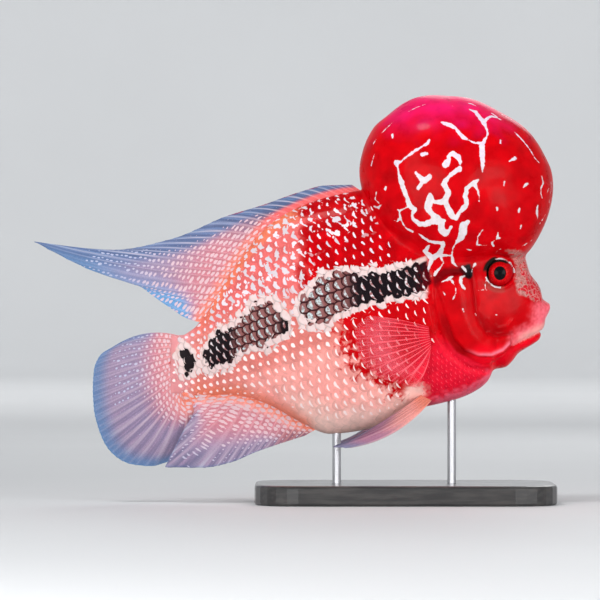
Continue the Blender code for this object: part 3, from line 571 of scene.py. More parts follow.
def read_edges(mesh):
    values = np.empty(len(mesh.edges) * 2, np.int32)
    mesh.edges.foreach_get("vertices", values)
    return values.reshape(-1, 2)


def keep_values(mesh, name, values):
    """Stores a number, a vector or a colour for each point of a mesh."""
    values = np.asarray(values, np.float32)
    width = 1 if values.ndim == 1 else values.shape[1]
    kind, field = {1: ("FLOAT", "value"), 3: ("FLOAT_VECTOR", "vector"), 4: ("FLOAT_COLOR", "color")}[width]
    mesh.attributes.new(name, kind, "POINT").data.foreach_set(field, values.ravel())


def relax(points, edges, share, rounds):
    """Moves each point its share of the way to the mean of its neighbours, several times."""
    count = len(points)
    ends = np.concatenate([edges[:, 0], edges[:, 1]])
    others = np.concatenate([edges[:, 1], edges[:, 0]])
    neighbours = np.bincount(ends, minlength=count)
    for _ in range(rounds):
        for axis in range(3):
            mean = np.bincount(ends, points[others, axis], count) / neighbours
            points[:, axis] += share * (mean - points[:, axis])
    return points


def ring_faces(rows, columns, closed=True):
    """Quads between rows of points, each row with the same number of columns."""
    c = np.arange(columns if closed else columns - 1)
    r = np.arange(rows - 1)[:, None] * columns
    after = (c + 1) % columns
    return np.stack([r + c, r + after, r + columns + after, r + columns + c], axis=-1).reshape(-1, 4)


def grid_border(rows, columns):
    """The numbers of a grid's outer points, in order round it."""
    border = [*range(columns), *(r * columns + columns - 1 for r in range(1, rows))]
    border += [(rows - 1) * columns + c for c in range(columns - 2, -1, -1)]
    border += [r * columns for r in range(rows - 2, 0, -1)]
    return np.array(border)


def body_loft():
    """The body from tail to snout as one closed loft."""
    around = 180
    fine_from = 60.0
    stations = np.concatenate([
        np.arange(TAIL_FLESH_END, fine_from, 1.5),
        np.arange(fine_from, BODY_SECTIONS[-1][0], 0.4),
    ])
    back, belly, wide, square = (column[:, None] for column in section(stations))
    wide = wide * (1 - 0.78 * soft(stations, BODY_END_X + 0.5, TAIL_FLESH_END))[:, None]
    turn = np.linspace(0, 2 * math.pi, around, endpoint=False)
    up, out = np.cos(turn), np.sin(turn)
    z = (back + belly) / 2 + (back - belly) / 2 * np.sign(up) * np.abs(up) ** (2 / square)
    y = wide * np.sign(out) * np.abs(out) ** (2 / square)
    x = np.broadcast_to(stations[:, None], y.shape)
    points = np.stack([x, y, z], axis=-1).reshape(-1, 3)
    faces = ring_faces(len(stations), around).tolist()
    faces.append(list(range(around))[::-1])
    faces.append(list(range(len(points) - around, len(points))))
    return points, faces


def hump_ball():
    """The whole hump as a ball whose side outline follows HUMP_OUTLINE."""
    shape = bmesh.new()
    bmesh.ops.create_icosphere(shape, subdivisions=6, radius=1.0)
    points = np.array([vertex.co for vertex in shape.verts])
    faces = [[vertex.index for vertex in face.verts] for face in shape.faces]
    shape.free()
    degrees, radii = zip(*HUMP_OUTLINE)
    x, y, z = points.T
    turn = (np.degrees(np.arctan2(z, x)) - degrees[0]) % 360 + degrees[0]
    radius = smooth_through(degrees, radii, turn)
    square = 2.0 + (HUMP_FOOT_SQUARENESS - 2.0) * np.clip(-2.0 * z, 0, 1)
    fuller = (np.hypot(x, z) ** square + np.abs(y) ** square) ** (-1 / square)
    ahead = HUMP_CENTRE[0] + radius * fuller * x
    side = HUMP_HALF_WIDTH * fuller * y
    high = HUMP_CENTRE[1] + radius * fuller * z
    return np.stack([ahead, side, high], axis=1), faces


def relief(x, z, facing):
    """How far the head's skin stands out at (x, z): eye rim and socket, lips, gill cover and folds."""
    from_eye, _ = round_eye(x, z)
    socket = 1 - soft(from_eye, EYE_RADIUS - 1.2, EYE_RADIUS + 0.1)
    raised = ridge(from_eye, *ORBIT_RIM) - SOCKET_DEPTH * socket
    corner = MOUTH_LINE[-1]
    away = to_line(x, z, MOUTH_LINE)
    above = z > line_height(MOUTH_LINE, x)
    lips = np.where(above, ridge(away, *UPPER_LIP), ridge(away, *LOWER_LIP)) + ridge(away, *MOUTH_SLIT)
    raised += lips * np.clip((x - corner[0]) / LIP_FADE, 0, 1)
    raised += ridge(np.hypot(x - NOSTRIL[0], z - NOSTRIL[1]), *NOSTRIL_PIT)
    plate = PLATE_RAISE * soft(depth_in(x, z, GILL_PLATE), -0.6, 0.8)
    plate *= soft(to_line(x, z, PREOPERCLE), 0, 9)
    membrane = MEMBRANE_RAISE * soft(depth_in(x, z, GILL_MEMBRANE), -0.7, 0.7)
    raised += (plate + membrane) * facing
    for line, height, width in FACE_FOLDS:
        raised += ridge(to_line(x, z, line), height, 0.0, width) * facing
    return raised


def build_skin():
    """One skin for the whole body: loft and hump fused, eased where they meet, then given relief."""
    loft_points, loft_faces = body_loft()
    ball_points, ball_faces = hump_ball()
    shift = len(loft_points)
    faces = loft_faces + [[i + shift for i in face] for face in ball_faces]
    skin = mesh_object("skin", np.concatenate([loft_points, ball_points]), faces)
    fuse = skin.modifiers.new("fuse", "REMESH")
    fuse.mode = "VOXEL"
    fuse.voxel_size = VOXEL * MM
    bpy.context.view_layer.update()
    fused = bpy.data.meshes.new_from_object(skin.evaluated_get(bpy.context.evaluated_depsgraph_get()))
    skin.modifiers.clear()
    skin.data = fused
    fused.name = "skin"

    points, edges = read_points(fused), read_edges(fused)
    x, _, z = points.T
    foot = ((-1.0, 148.0), (15.0, 141.6), (36.0, 141.0))
    brow = ((36.0, 141.0), (60.0, 144.6), (71.7, 147.6))
    blend = 1 - soft(to_line(x, z, foot), 8, 20)
    blend = np.maximum(blend, 0.5 * (1 - soft(to_line(x, z, brow), 1, 5)))
    points = relax(points, edges, 0.5 * blend, 90)
    points = relax(points, edges, np.full(len(points), 0.5), 4)
    write_points(fused, points)

    x, _, z = points.T
    normals = read_normals(fused)
    facing = soft(np.abs(normals[:, 1]), 0.15, 0.5)
    raised = relief(x, z, facing)
    from_hump = np.hypot(x - HUMP_CENTRE[0], z - HUMP_CENTRE[1])
    on_hump = 1 - soft(from_hump, 56, 62)
    raised += on_hump * 0.8 * lumps(points, 17.0, 1)
    points += normals * raised[:, None]
    points = relax(points, edges, np.full(len(points), 0.35), 1)
    write_points(fused, points)
    fused.shade_smooth()
    return skin


def mix(first, second, share):
    """Colours between the first and the second, by each place's share."""
    share = np.asarray(share, float)[..., None]
    return np.asarray(first) * (1 - share) + np.asarray(second) * share


def layered(shape, first, *layers):
    """Colours over an array of places: a first colour, then (colour, share) layers laid over it."""
    colour = np.broadcast_to(first, (*shape, 3))
    for layer, share in layers:
        colour = mix(colour, layer, np.broadcast_to(share, shape))
    return colour


def axis_height(x):
    return AXIS_FOOT[1] + (x - AXIS_FOOT[0]) * math.tan(math.radians(AXIS_DEGREES))


def crease_height(x):
    return line_height(HUMP_CREASE, x)


def beyond_line(x, z, line):
    """Signed distance in front of and above a hollow line that leads down to the front."""
    sides = []
    for (ax, az), (bx, bz) in zip(line, line[1:]):
        sides.append(((z - az) * (bx - ax) - (x - ax) * (bz - az)) / math.hypot(bx - ax, bz - az))
    return np.min(sides, axis=0)


def band_depth(x, z):
    """How far inside the black band each place lies, negative outside."""
    return np.max([depth_in(x, z, spot) for spot in (BAND_FRONT, BAND_REAR, TAIL_SPOT, HEAD_SPOT)], axis=0)


def body_colours(x, z, back, belly, wobble, fine, finer):
    """Salmon with a red front, an orange back and a pale belly, by places of the side view."""
    below = axis_height(x) - z
    upper = soft(x + 4 * wobble + 3 * fine, *FLANK_RED_FROM) * soft(below, 6, -4)
    lower = beyond_line(x, z, BELLY_RED_LINE) + 4 * wobble + 11 * fine + 9 * finer
    lower = soft(lower, 0, 6) * soft(below, -4, 4)
    patch = np.hypot(x - PALE_PATCH[0], (z - PALE_PATCH[1]) * PATCH_SHAPE)
    return layered(
        x.shape,
        SALMON,
        (ROSE, 0.8 * soft(below + 4 * wobble, -8, -24)),
        (PEACH, soft(below + 4 * wobble, 12, 30) * soft(x, -118, -80)),
        (PALE, soft(z - belly + 5 * wobble, 26, 4) * soft(x, -82, -52) * soft(x, 16, -2)),
        (ORANGE, soft(back - z + 2 * wobble, 12, 3) * soft(x, -36, -62) * soft(x, -128, -112)),
        (ORANGE, 0.8 * soft(z - belly + 2 * wobble, 10, 1) * soft(x, -50, -62)),
        (TAIL_PINK, soft(x, -122, -134)),
        (RED, np.maximum(upper, lower)),
        (DEEP_RED, 0.6 * upper * soft(wobble, -0.5, 0.3)),
        (BREAST_RED, soft(x, 0, 9) * soft(z, 104, 90)),
        # Partly painted light: the breast's lower edge is pink of its own, painted lighter to stand in for
        # light it lacks facing down
        (BREAST_PINK, 0.85 * soft(z - belly + 4 * fine, 9, 1) * soft(x, 6, 20)),
        (PALE, 0.9 * soft(patch + 2.5 * fine + 1.5 * finer, 11, 3)),
    )


def ground_colours(points):
    """The skin's colour at each point, before veins and pearls, with some painted shade, highlight and sheen.
    """
    x, _, z = points.T
    back, belly, _, _ = section(x)
    wobble, fine, finer = lumps(points, 9.0, 3), lumps(points, 3.2, 4), lumps(points, 1.5, 6)
    plate = depth_in(x, z, GILL_PLATE)
    shadow_under_plate = soft(plate, 0.2, -0.6) * soft(plate, -9, -2) * soft(x, 66, 52) * soft(z, 120, 108)
    over_mouth = z - line_height(MOUTH_LINE, x)
    chin = soft(z, 98, 90) * soft(x, 34, 46)
    under_mouth = soft(over_mouth, 0.5, -1.5) * soft(x, 62, 66)
    red = layered(
        x.shape,
        RED,
        (DEEP_RED, 0.55 * soft(wobble, -0.2, 0.6)),
        # Painted shade: a darker red band under the gill cover's lower edge
        (SHADE_RED, 0.8 * shadow_under_plate),
        # Painted shade: a dark line along the preopercle's groove
        (SHADE_RED, ridge(to_line(x, z, PREOPERCLE), 0.55, 0.0, 1.0)),
        # Painted sheen: the top of the hump turns magenta-pink, as it looks under light from above
        (TOP_SHEEN_MAGENTA, 0.9 * soft(z + 8 * wobble, 214, 245)),
        (CHIN_RED, np.maximum(chin, under_mouth)),
        (MAROON, 0.75 * soft(to_line(x, z, NECK_SHADE) + fine, 5.0, 1.0)),
    )
    throat = soft(z, 84, 76) * soft(x, 50, 46)
    lip = soft(depth_in(x, z, LIP_PATCH) + 1.6 * fine + finer, -4.5, 5.5) * soft(over_mouth, -0.3, 0.4)
    lip_edge = soft(over_mouth + fine, 7.5, 2.0) * soft(x + 2 * fine, 63, 72)
    # Painted highlight: a thin pale-pink line along the gill cover's lower edge
    rim = ridge(to_line(x, z, GILL_EDGE), 0.85, 0.0, 1.1) * soft(x, 34, 48) * soft(plate, -0.8, 0.2)
    from_eye, turn = round_eye(x, z)
    return layered(
        x.shape,
        body_colours(x, z, back, belly, wobble, fine, finer),
        (red, soft(depth_in(x, z, HEAD_PATCH), -1, 1) * (1 - throat)),
        (LIP_PINK, lip * (0.88 + 0.3 * finer)),
        (LIP_PALE, 0.85 * lip * lip_edge),
        (GILL_HIGHLIGHT_PINK, rim),
        (ORBIT_BLACK, soft(from_eye, 10.8, 9.8) * soft(np.abs(turn - 138), 44, 28)),
        (ORBIT_BROWN, 0.7 * soft(from_eye, 12.5, 11.0) * soft(np.abs(turn + 112), 46, 30)),
    )


def blackness(points):
    """How black the band is at each point, from 0 where it is grey-brown to 1."""
    x, _, z = points.T
    black = np.maximum(soft(x, *BLACK_FROM), soft(x, -61.6, -63.2) * soft(z, 117, 115))
    ends = np.maximum(soft(x, -78, -73), soft(x, -98, -106))
    return np.where(x < -64.5, ends, black)


def band_colours(points, colour, depth):
    """Colours with the black band and its pale border laid over them."""
    x = points[:, 0]
    inky = mix(BLACK, MAROON, soft(x, 8.0, 14.0) * soft(x, 36.5, 33.5))
    border = soft(x, *BORDER_TO) * soft(depth, -BAND_BORDER, -BAND_BORDER + 1.0)
    ends = np.maximum(soft(x, 18.0, 13.0), soft(x, 26.0, 34.0))
    dark = mix(BROWN, inky, blackness(points))
    return layered(x.shape, colour, (CREAM, border), (dark, soft(depth, -0.5, 0.5) * ends))


def on_skin(tree, x, z, side):
    """The place and normal of the skin over (x, z), on the right for side -1 and on the left for 1."""
    found = tree.ray_cast(Vector((x, side * 90.0, z)), Vector((0.0, -side, 0.0)))
    return found[0], found[1]


def vein_depth(points, tree):
    """How far inside a white mark each point lies, in mm over the skin, negative outside."""
    samples, widths = [], []
    for mark in (*HUMP_MARKS, *FACE_MARKS):
        for (ax, az, aw), (bx, bz, bw) in zip(mark, mark[1:]):
            count = max(2, math.ceil(math.hypot(bx - ax, bz - az) / 0.35))
            for t in np.linspace(0, 1, count):
                place, _ = on_skin(tree, ax + (bx - ax) * t, az + (bz - az) * t, -1)
                if place is not None:
                    samples.append(place)
                    widths.append(aw + (bw - aw) * t)
    finder = KDTree(len(samples))
    for i, place in enumerate(samples):
        finder.insert(place, i)
    finder.balance()
    # On the left the marks drift, so that the sides aren't exact mirrors
    drift = 2.4 * np.stack([lumps(points, 16.0, seed) for seed in (11, 12, 13)], axis=1)
    fade = soft(points[:, 1], 0, 14)[:, None]
    seen = np.where(points[:, 1:2] > 0, points + drift * fade, points)
    seen[:, 1] = -np.abs(seen[:, 1])
    depth = np.full(len(points), OUTSIDE)
    for i in np.flatnonzero((points[:, 0] > -32) & (points[:, 2] > 100)):
        depth[i] = max(OUTSIDE, *(widths[j] - away for _, j, away in finder.find_n(seen[i], 5)))
    return depth


def paint_skin(skin, tree):
    """Stores the skin's ground colour and how deep each point lies in the white marks and the snout's net."""
    points = read_points(skin.data)
    x, _, z = points.T
    fine = lumps(points, 2.4, 5)
    depth = band_depth(x, z) + 0.9 * fine
    colour = band_colours(points, ground_colours(points), depth)
    keep_values(skin.data, "ground", np.column_stack([colour, np.ones(len(points))]))
    snout = depth_in(x, z, SNOUT_PATCH) + 0.8 * fine
    from_eye, turn = round_eye(x, z)
    arcs = np.maximum(soft(np.abs(turn - 55), 62, 50), soft(np.abs(turn + 125), 48, 36))
    white_ring = 0.7 - np.abs(from_eye - EYE_RADIUS - 0.35)
    veins = np.maximum(vein_depth(points, tree), np.where(arcs > 0.5, white_ring, OUTSIDE))
    keep_values(skin.data, "marks", np.column_stack([veins, snout, 0 * snout]))


def scale_growth(x):
    """How large the scales are at a place along the body, as a share of their full size."""
    return float(0.70 + 0.30 * soft(x, -136, -58))


def scale_flatness(place):
    """How flat the scales lie at a place, from 0 in the black band to 1 on the belly."""
    if band_depth(np.array([place.x]), np.array([place.z]))[0] > 0:
        return 0.0
    return 0.35 + 0.65 * float(soft(axis_height(place.x) - place.z, 2, 22))


def scale_roots(side, tree, start, wanted, share):
    """Places and normals of the scales' roots, in columns set across the body's axis.

    start gives the height from which each column is laid, up and down. wanted says which places keep a scale.
    """
    roots = []
    x = TAIL_FLESH_END
    while x < COLUMNS_TO_X:
        x += SCALE_PITCH * share * scale_growth(x)
        first, normal = on_skin(tree, x, start(x), side)
        if first is None:
            continue
        for way in (1, -1):
            place, facing = first.copy(), normal.copy()
            for number in range(40):
                if (number > 0 or way > 0) and wanted(*place):
                    roots.append((place.copy(), facing.copy()))
                for _ in range(4):
                    up = facing.cross(Vector((1.0, 0.0, 0.0))).normalized() * (-side * way)
                    stride = SCALE_HEIGHT * share * scale_growth(place.x) / 4
                    place, facing, _, _ = tree.find_nearest(place + up * stride)
                back, belly, _, _ = section(place.x)
                if abs(place.y) < 1.6 or place.y * side < 0 or not belly + 0.5 < place.z < back - 0.5:
                    break
    return roots


def build_scales(name, side, tree, start, wanted, share):
    """Overlapping scales over part of one side, each a thin plate that follows the skin."""
    tilt = math.radians(AXIS_DEGREES)
    to_tail = Vector((-math.cos(tilt), 0.0, -math.sin(tilt)))
    rng = np.random.default_rng(17 + side)
    columns, rows = 7, 7
    u, v = np.meshgrid(np.linspace(-1, 1, columns), np.linspace(0, 1, rows))
    half = SCALE_HALF_WIDTH * share * (0.82 + 0.18 * np.sin(math.pi * np.minimum(v / 0.9, 1)))
    half *= 1 - 0.12 * soft(v, 0.7, 1)
    length = SCALE_LENGTH * share * v * (1 - 0.22 * u**2)
    crown = 0.06 * (1 - u**2) * soft(v, 0, 0.5)
    under = rows * columns
    bottom = ring_faces(rows, columns, closed=False)
    # The rim has points of its own, which keeps it crisp
    border = grid_border(rows, columns)
    rim_from = np.arange(len(border)) + 2 * under
    rim_to = np.roll(rim_from, -1)
    rim = np.stack([rim_from, rim_to, rim_to + len(border), rim_from + len(border)], axis=1)
    one = np.concatenate([bottom[:, ::-1], bottom + under, rim])[:, ::-side]
    grid = [*range(under), *range(under), *border, *border]
    u_each, v_each = u.ravel()[grid], v.ravel()[grid]
    points, faces, centres, chances, patches = [], [], [], [], []
    for place, normal in scale_roots(side, tree, start, wanted, share):
        back_way = (to_tail - normal * to_tail.dot(normal)).normalized()
        cross = normal.cross(back_way) * side
        size = (1 + 0.07 * rng.uniform(-1, 1)) * scale_growth(place.x)
        twist = 0.06 * rng.uniform(-1, 1)
        flat = scale_flatness(place)
        lift = share**0.5 * (-0.35 + 0.30 * flat + (0.55 - 0.46 * flat) * v**0.9 + crown * (1 - flat))
        thin = (0.2 - 0.16 * flat) * share
        upper, lower = [], []
        for i, j in np.ndindex(rows, columns):
            ahead = (length[i, j] - 0.6 * SCALE_LENGTH * share) * size
            aside = half[i, j] * u[i, j] * size + twist * ahead
            spot, facing, _, _ = tree.find_nearest(place + back_way * ahead + cross * aside)
            upper.append(spot + facing * lift[i, j])
            lower.append(spot + facing * (lift[i, j] - thin))
        faces.append(one + len(points))
        points += upper + lower + [upper[i] for i in border] + [lower[i] for i in border]
        centres.append(place)
        chances.append(rng.uniform(0, 1, 3))
        patches.append(unwrapped(place))
    made = mesh_object(name, points, np.concatenate(faces).tolist())
    made.data.shade_smooth()
    paint_scales(made.data, np.array(centres), np.array(chances), u_each, v_each)
    map_scales(made.data, np.array(patches), u_each, v_each)
    return made


def unwrapped(place):
    """Where a place of the skin lies when the body is rolled out flat round its axis, both 0 to 1."""
    back, belly, _, _ = section(place.x)
    turn = math.atan2(place.y, place.z - (back + belly) / 2)
    return (place.x - TAIL_FLESH_END) / 235.0, turn / (2 * math.pi) + 0.5


def map_scales(mesh, patches, u, v):
    """Gives each scale its own small patch at its root's place on the rolled-out skin."""
    patch = 0.003
    local = np.stack([v - 0.5, u / 2], axis=1)
    flat = (patches[:, None, :] + patch * local[None, :, :]).reshape(-1, 2)
    layer = mesh.uv_layers.new(name="OFBake")
    corners = np.empty(len(mesh.loops), np.int32)
    mesh.loops.foreach_get("vertex_index", corners)
    layer.data.foreach_set("uv", flat[corners].astype(np.float32).ravel())


def paint_scales(mesh, centres, chances, u, v):
    """Stores each scale's ground and pearl colours, the pearl's size and lean, and the depth in the band."""
    x, _, z = centres.T
    first, second, third = chances.T
    points = read_points(mesh)
    every = np.ones(len(u))
    ground = ground_colours(0.8 * points + 0.2 * np.repeat(centres, len(u), axis=0))
    ground *= np.kron(1 + 0.12 * (second - 0.5), every)[:, None]
    below = axis_height(x) - z
    _, belly, _, _ = section(x)
    red_above = soft(x, *FLANK_RED_FROM) * soft(below, 6, -4)
    in_red = np.maximum(red_above, soft(beyond_line(x, z, BELLY_RED_LINE), -3, 7))
    slim = soft(below, -4, 4)
    long = 0.42 * (0.65 + 0.6 * first) * (1 - in_red) + (0.46 + 0.12 * slim) * (0.6 + 0.6 * first) * in_red
    wide = (0.125 * (1 - in_red) + (0.060 - 0.014 * slim) * in_red) * (0.7 + 0.6 * second)
    on_belly = soft(below, 8, 30) * soft(x, -100, -80) * (1 - in_red)
    long *= 1 + 0.3 * on_belly
    wide *= 1 - 0.42 * on_belly
    shine = soft(np.hypot((x + 42) / 1.6, z - 173), 18, 12)
    high = soft(below, -12, -24) * soft(x, -48, -64) * soft(x, -126, -112)
    worn = np.maximum(shine, high)
    long += (0.08 + 0.30 * first) * worn
    wide += (0.05 * third - 0.02) * worn
    long *= 1 - soft(z - belly, 12, 6) * soft(x, -100, -80)
    breast = soft(x, 3, 7) * soft(z, 98, 94)
    wide *= 1 - 0.35 * breast
    inside = soft(band_depth(x, z), -2.0, 0.0)
    inky = blackness(centres)
    band_long = (0.62 + 0.06 * first) * (1 - inky) + (0.56 + 0.30 * first) * inky
    band_wide = (0.085 + 0.075 * soft(x, -36, -50) * soft(x, -66, -62)) * (1 - inky)
    band_wide += (0.055 + 0.03 * third) * inky
    long = long * (1 - inside) + band_long * inside
    wide = wide * (1 - inside) + band_wide * inside
    lean = 0.05 + 0.14 * (second - 0.5)
    mark = mix(PINK_PEARL, PEARL, soft(below, 8, -4))
    mark *= (1 - 0.25 * first * soft(below, 8, -4))[:, None]
    mark = mix(mark, BREAST_MARK, breast)
    along = points[:, 0]
    depth = band_depth(along, points[:, 2])
    inner = np.tile(np.stack([u, v], axis=1), (len(centres), 1))
    keep_values(mesh, "ground", np.column_stack([ground, np.kron(third, every)]))
    keep_values(mesh, "mark", np.kron(np.column_stack([mark, worn]), every[:, None]))
    keep_values(mesh, "spot", np.kron(np.column_stack([long, wide, lean]), every[:, None]))
    keep_values(mesh, "plate", np.column_stack([inner, np.kron(second, every)]))
    keep_values(mesh, "band", np.column_stack([depth, blackness(points), soft(along, *BORDER_TO)]))


def fin_places(rays, root_y, columns, rows, sunk):
    """The middle surface of a fin: where its rays start, how they run, their share, their bow and their y."""
    numbers = [row[0] for row in rays]
    table = np.array([(*row[1], *row[2], row[3]) for row in rays])
    root_x, root_z, tip_x, tip_z, bow = (smooth_through(numbers, column, columns) for column in table.T)
    across, up = tip_x - root_x, tip_z - root_z
    length = np.hypot(across, up)
    out = np.linspace(0, 1, rows)[:, None]
    reach = out * (1 + sunk / length) - sunk / length
    lift = bow * 4 * reach * (1 - reach) / length
    return root_x, root_z, across, up, length, reach, lift, root_y(root_x, root_z)


def build_fin(name, rays, root_y, sway, form, colours, sunk=2.0):
    """A fin as a thin closed sheet with its rays as ridges, which branch on their way to the edge.

    A form is the columns per ray, the rows, the ray's thickness at root and tip, the membrane's at root and
    tip, where the rays branch, and the share by which the membrane falls back from their tips.
    """
    per_ray, rows, ray_root, ray_tip, skin_root, skin_tip, branch_from, nick = form
    last = rays[-1][0]
    columns = np.linspace(0, last, last * per_ray + 1)
    root_x, root_z, across, up, length, reach, lift, y = fin_places(rays, root_y, columns, rows, sunk)
    phase = columns - np.round(columns)
    split = 0.24 * soft(reach, branch_from, 1.0)
    narrow = 0.11 - 0.04 * soft(reach, branch_from, 1.0)
    bump = np.exp(-(((phase - split) / narrow) ** 2)) + np.exp(-(((phase + split) / narrow) ** 2))
    bump = np.minimum(bump, 1.0)
    reach = reach * (1 - nick * (1 - bump[-1]))
    x = root_x + across * reach - up * lift
    z = root_z + up * reach + across * lift
    share = np.clip(reach, 0, 1)
    ray = ray_root + (ray_tip - ray_root) * share
    membrane = skin_root + (skin_tip - skin_root) * share
    thick = membrane + (ray - membrane) * bump
    thick = thick + 2.4 * soft(reach * length, 6.0, -1.5)
    middle = y + sway(share, length)
    sides = [np.stack([x, middle + side * thick / 2, z], axis=-1).reshape(-1, 3) for side in (-1, 1)]
    count = len(columns)
    half = rows * count
    faces = ring_faces(rows, count, closed=False)
    other = (faces + half)[:, ::-1]
    border = grid_border(rows, count)
    after = np.roll(border, -1)
    rim = np.stack([border, after, after + half, border + half], axis=1)[:, ::-1]
    made = closed_object(name, np.concatenate(sides), np.concatenate([faces, other, rim]).tolist())
    from_root = np.maximum(reach * length, 0) + 0 * columns
    number = columns + 0 * reach
    colour, alpha, tone = colours(number / last, share, from_root, x + 0 * reach, z + 0 * reach)
    grid = np.stack([number, from_root, share], axis=-1).reshape(-1, 3)
    keep_values(made.data, "fin", np.tile(grid, (2, 1)))
    paint = np.concatenate([colour, alpha[..., None]], axis=-1).reshape(-1, 4)
    keep_values(made.data, "ground", np.tile(paint, (2, 1)))
    keep_values(made.data, "ray", np.tile(bump.reshape(-1), 2))
    tone = np.stack([np.broadcast_to(value, number.shape) for value in tone], axis=-1).reshape(-1, 3)
    keep_values(made.data, "tone", np.tile(tone, (2, 1)))
    return made


def signed_volume(mesh):
    mesh.calc_loop_triangles()
    corners = np.empty(len(mesh.loop_triangles) * 3, np.int32)
    mesh.loop_triangles.foreach_get("vertices", corners)
    a, b, c = read_points(mesh)[corners.reshape(-1, 3)].transpose(1, 0, 2)
    return float(np.sum(np.cross(a, b) * c))


def closed_object(name, points, faces):
    """A smooth mesh object whose faces all look outward."""
    made = mesh_object(name, points, faces)
    if signed_volume(made.data) < 0:
        made.data.flip_normals()
    made.data.shade_smooth()
    return made


def dorsal_colours(number, out, away, x, _):
    front = soft(number, 0.62, 0.34)
    rear = soft(number, 0.30, 0.52)
    notched = out + 0.06 * np.cos(24 * math.pi * number)
    colour = layered(
        out.shape,
        FIN_PINK,
        (FIN_LAVENDER, soft(away, 12, 44)),
        (FIN_BLUE, soft(away, 48, 84)),
        (FIN_GREY, soft(away, 96, 125) * 0.6),
        (FIN_GREY, front * soft(away, 2, 7)),
        (FIN_BLUE, soft(out, 0.84, 1.0) * (1 - front) * 0.8),
        (FIN_BLUE, soft(out, 0.34, 0.62) * soft(number, 0.84, 0.70) * 0.9),
        (FIN_EDGE, soft(number, 0.76, 0.93) * soft(out, 0.12, 0.40)),
        (ORANGE, soft(away, 9, 1) * rear * 0.8),
        (CORAL, soft(away, 8, 3) * front),
        (EDGE_WINE, soft(notched, 0.92, 0.97) * soft(x, -30, -50) * soft(x, -118, -96)),
    )
    dots = rear * (0.92 - 0.22 * soft(away, 30, 60)) * soft(away, 95, 78)
    dots = dots * (1 - 0.8 * soft(number, 0.72, 0.60) * soft(out, 0.42, 0.62))
    streaks = np.maximum(front * soft(away, 3, 7), 0.9 * soft(number, 0.84, 0.70) * soft(out, 0.40, 0.62))
    alpha = 0.95 - 0.1 * front * soft(out, 0.3, 0.8)
    return colour, alpha, (dots, soft(away, 30, 66), streaks)


def caudal_colours(number, out, away, x, z):
    low = soft(number, 0.42, 0.60)
    colour = layered(
        out.shape,
        FIN_PINK,
        (TAIL_PINK, soft(away, 18, 6)),
        (FIN_LAVENDER, soft(out, 0.22, 0.55) * soft(away, 8, 20)),
        (FIN_BLUE, soft(out, 0.78, 0.96) * soft(away, 15, 30)),
        (FIN_BLUE, soft(number, 0.12, 0.0) * soft(out, 0.3, 0.7) * 0.8),
        (FIN_EDGE, soft(out, 0.975, 1.0) * soft(away, 15, 30) * 0.7),
        (ORANGE, soft(away, 14, 3) * soft(number, 0.6, 0.9) * 0.8),
        (RED, soft(np.hypot((x + 139.8) / 1.6, z - 84.3), 1.4, 0.8)),
    )
    dots = (0.9 - 0.25 * soft(out, 0.30, 0.55)) * soft(out, 0.86, 0.72) * (1 - low * soft(out, 0.34, 0.50))
    streaks = 0.5 * low * soft(out, 0.22, 0.42) * soft(out, 0.97, 0.85)
    streaks = streaks + 0.15 * (1 - low) * soft(out, 0.3, 0.5)
    return colour, 0.96 - 0.08 * soft(out, 0.5, 1.0), (dots, soft(out, 0.28, 0.60), streaks)


def anal_colours(number, out, away, *_):
    front = soft(number, 0.40, 0.12)
    colour = layered(
        out.shape,
        FIN_PINK,
        (PEACH, soft(away, 9, 3)),
        (ORANGE, soft(away, 6, 0)),
        (FIN_LAVENDER, soft(out, 0.28, 0.75) * soft(away, 8, 20)),
        (ANAL_BROWN, front * soft(out, 0.15, 0.6) * 0.9),
        (FIN_BLUE, soft(out, 0.93, 1.0) * soft(away, 15, 30) * 0.6),
    )
    dots = 1.0 - 0.3 * soft(away, 14, 26) - 0.35 * soft(out, 0.6, 0.9) - 0.4 * front * soft(out, 0.3, 0.6)
    streaks = 0.65 * np.maximum(front * soft(out, 0.25, 0.5), soft(out, 0.62, 0.85)) + 0.1
    return colour, 0.96 - 0.08 * soft(out, 0.5, 1.0), (dots, 0.8 * soft(out, 0.45, 0.9), streaks)


def pectoral_colours(number, out, *_):
    colour = layered(
        out.shape,
        PECTORAL_RED,
        (PECTORAL_PINK, soft(out, 0.35, 0.75)),
        (PECTORAL_LOW, soft(number, 0.7, 1.0)),
    )
    alpha = 0.75 - 0.45 * soft(out, 0.04, 0.2) + 0.2 * soft(number, 0.82, 0.97) * soft(out, 0.9, 0.5)
    alpha = alpha + 0.06 * soft(out, 0.3, 0.5) - 0.28 * soft(out, 0.60, 0.95)
    return colour, alpha, (0.0, 0.0, 0.0)


def pelvic_colours(number, out, *_):
    colour = layered(
        out.shape,
        PEACH,
        (ORANGE, soft(out, 0.22, 0.0) * 0.8),
        (PELVIC_MAUVE, soft(out, 0.30, 0.62)),
        (PELVIC_BLUE, soft(out, 0.68, 0.95)),
        (CREAM, soft(number, 0.05, 0.0) * 0.6),
    )
    return colour, 0.97 - 0.1 * out, (0.0, 0.0, 0.35 * soft(out, 0.15, 0.4))


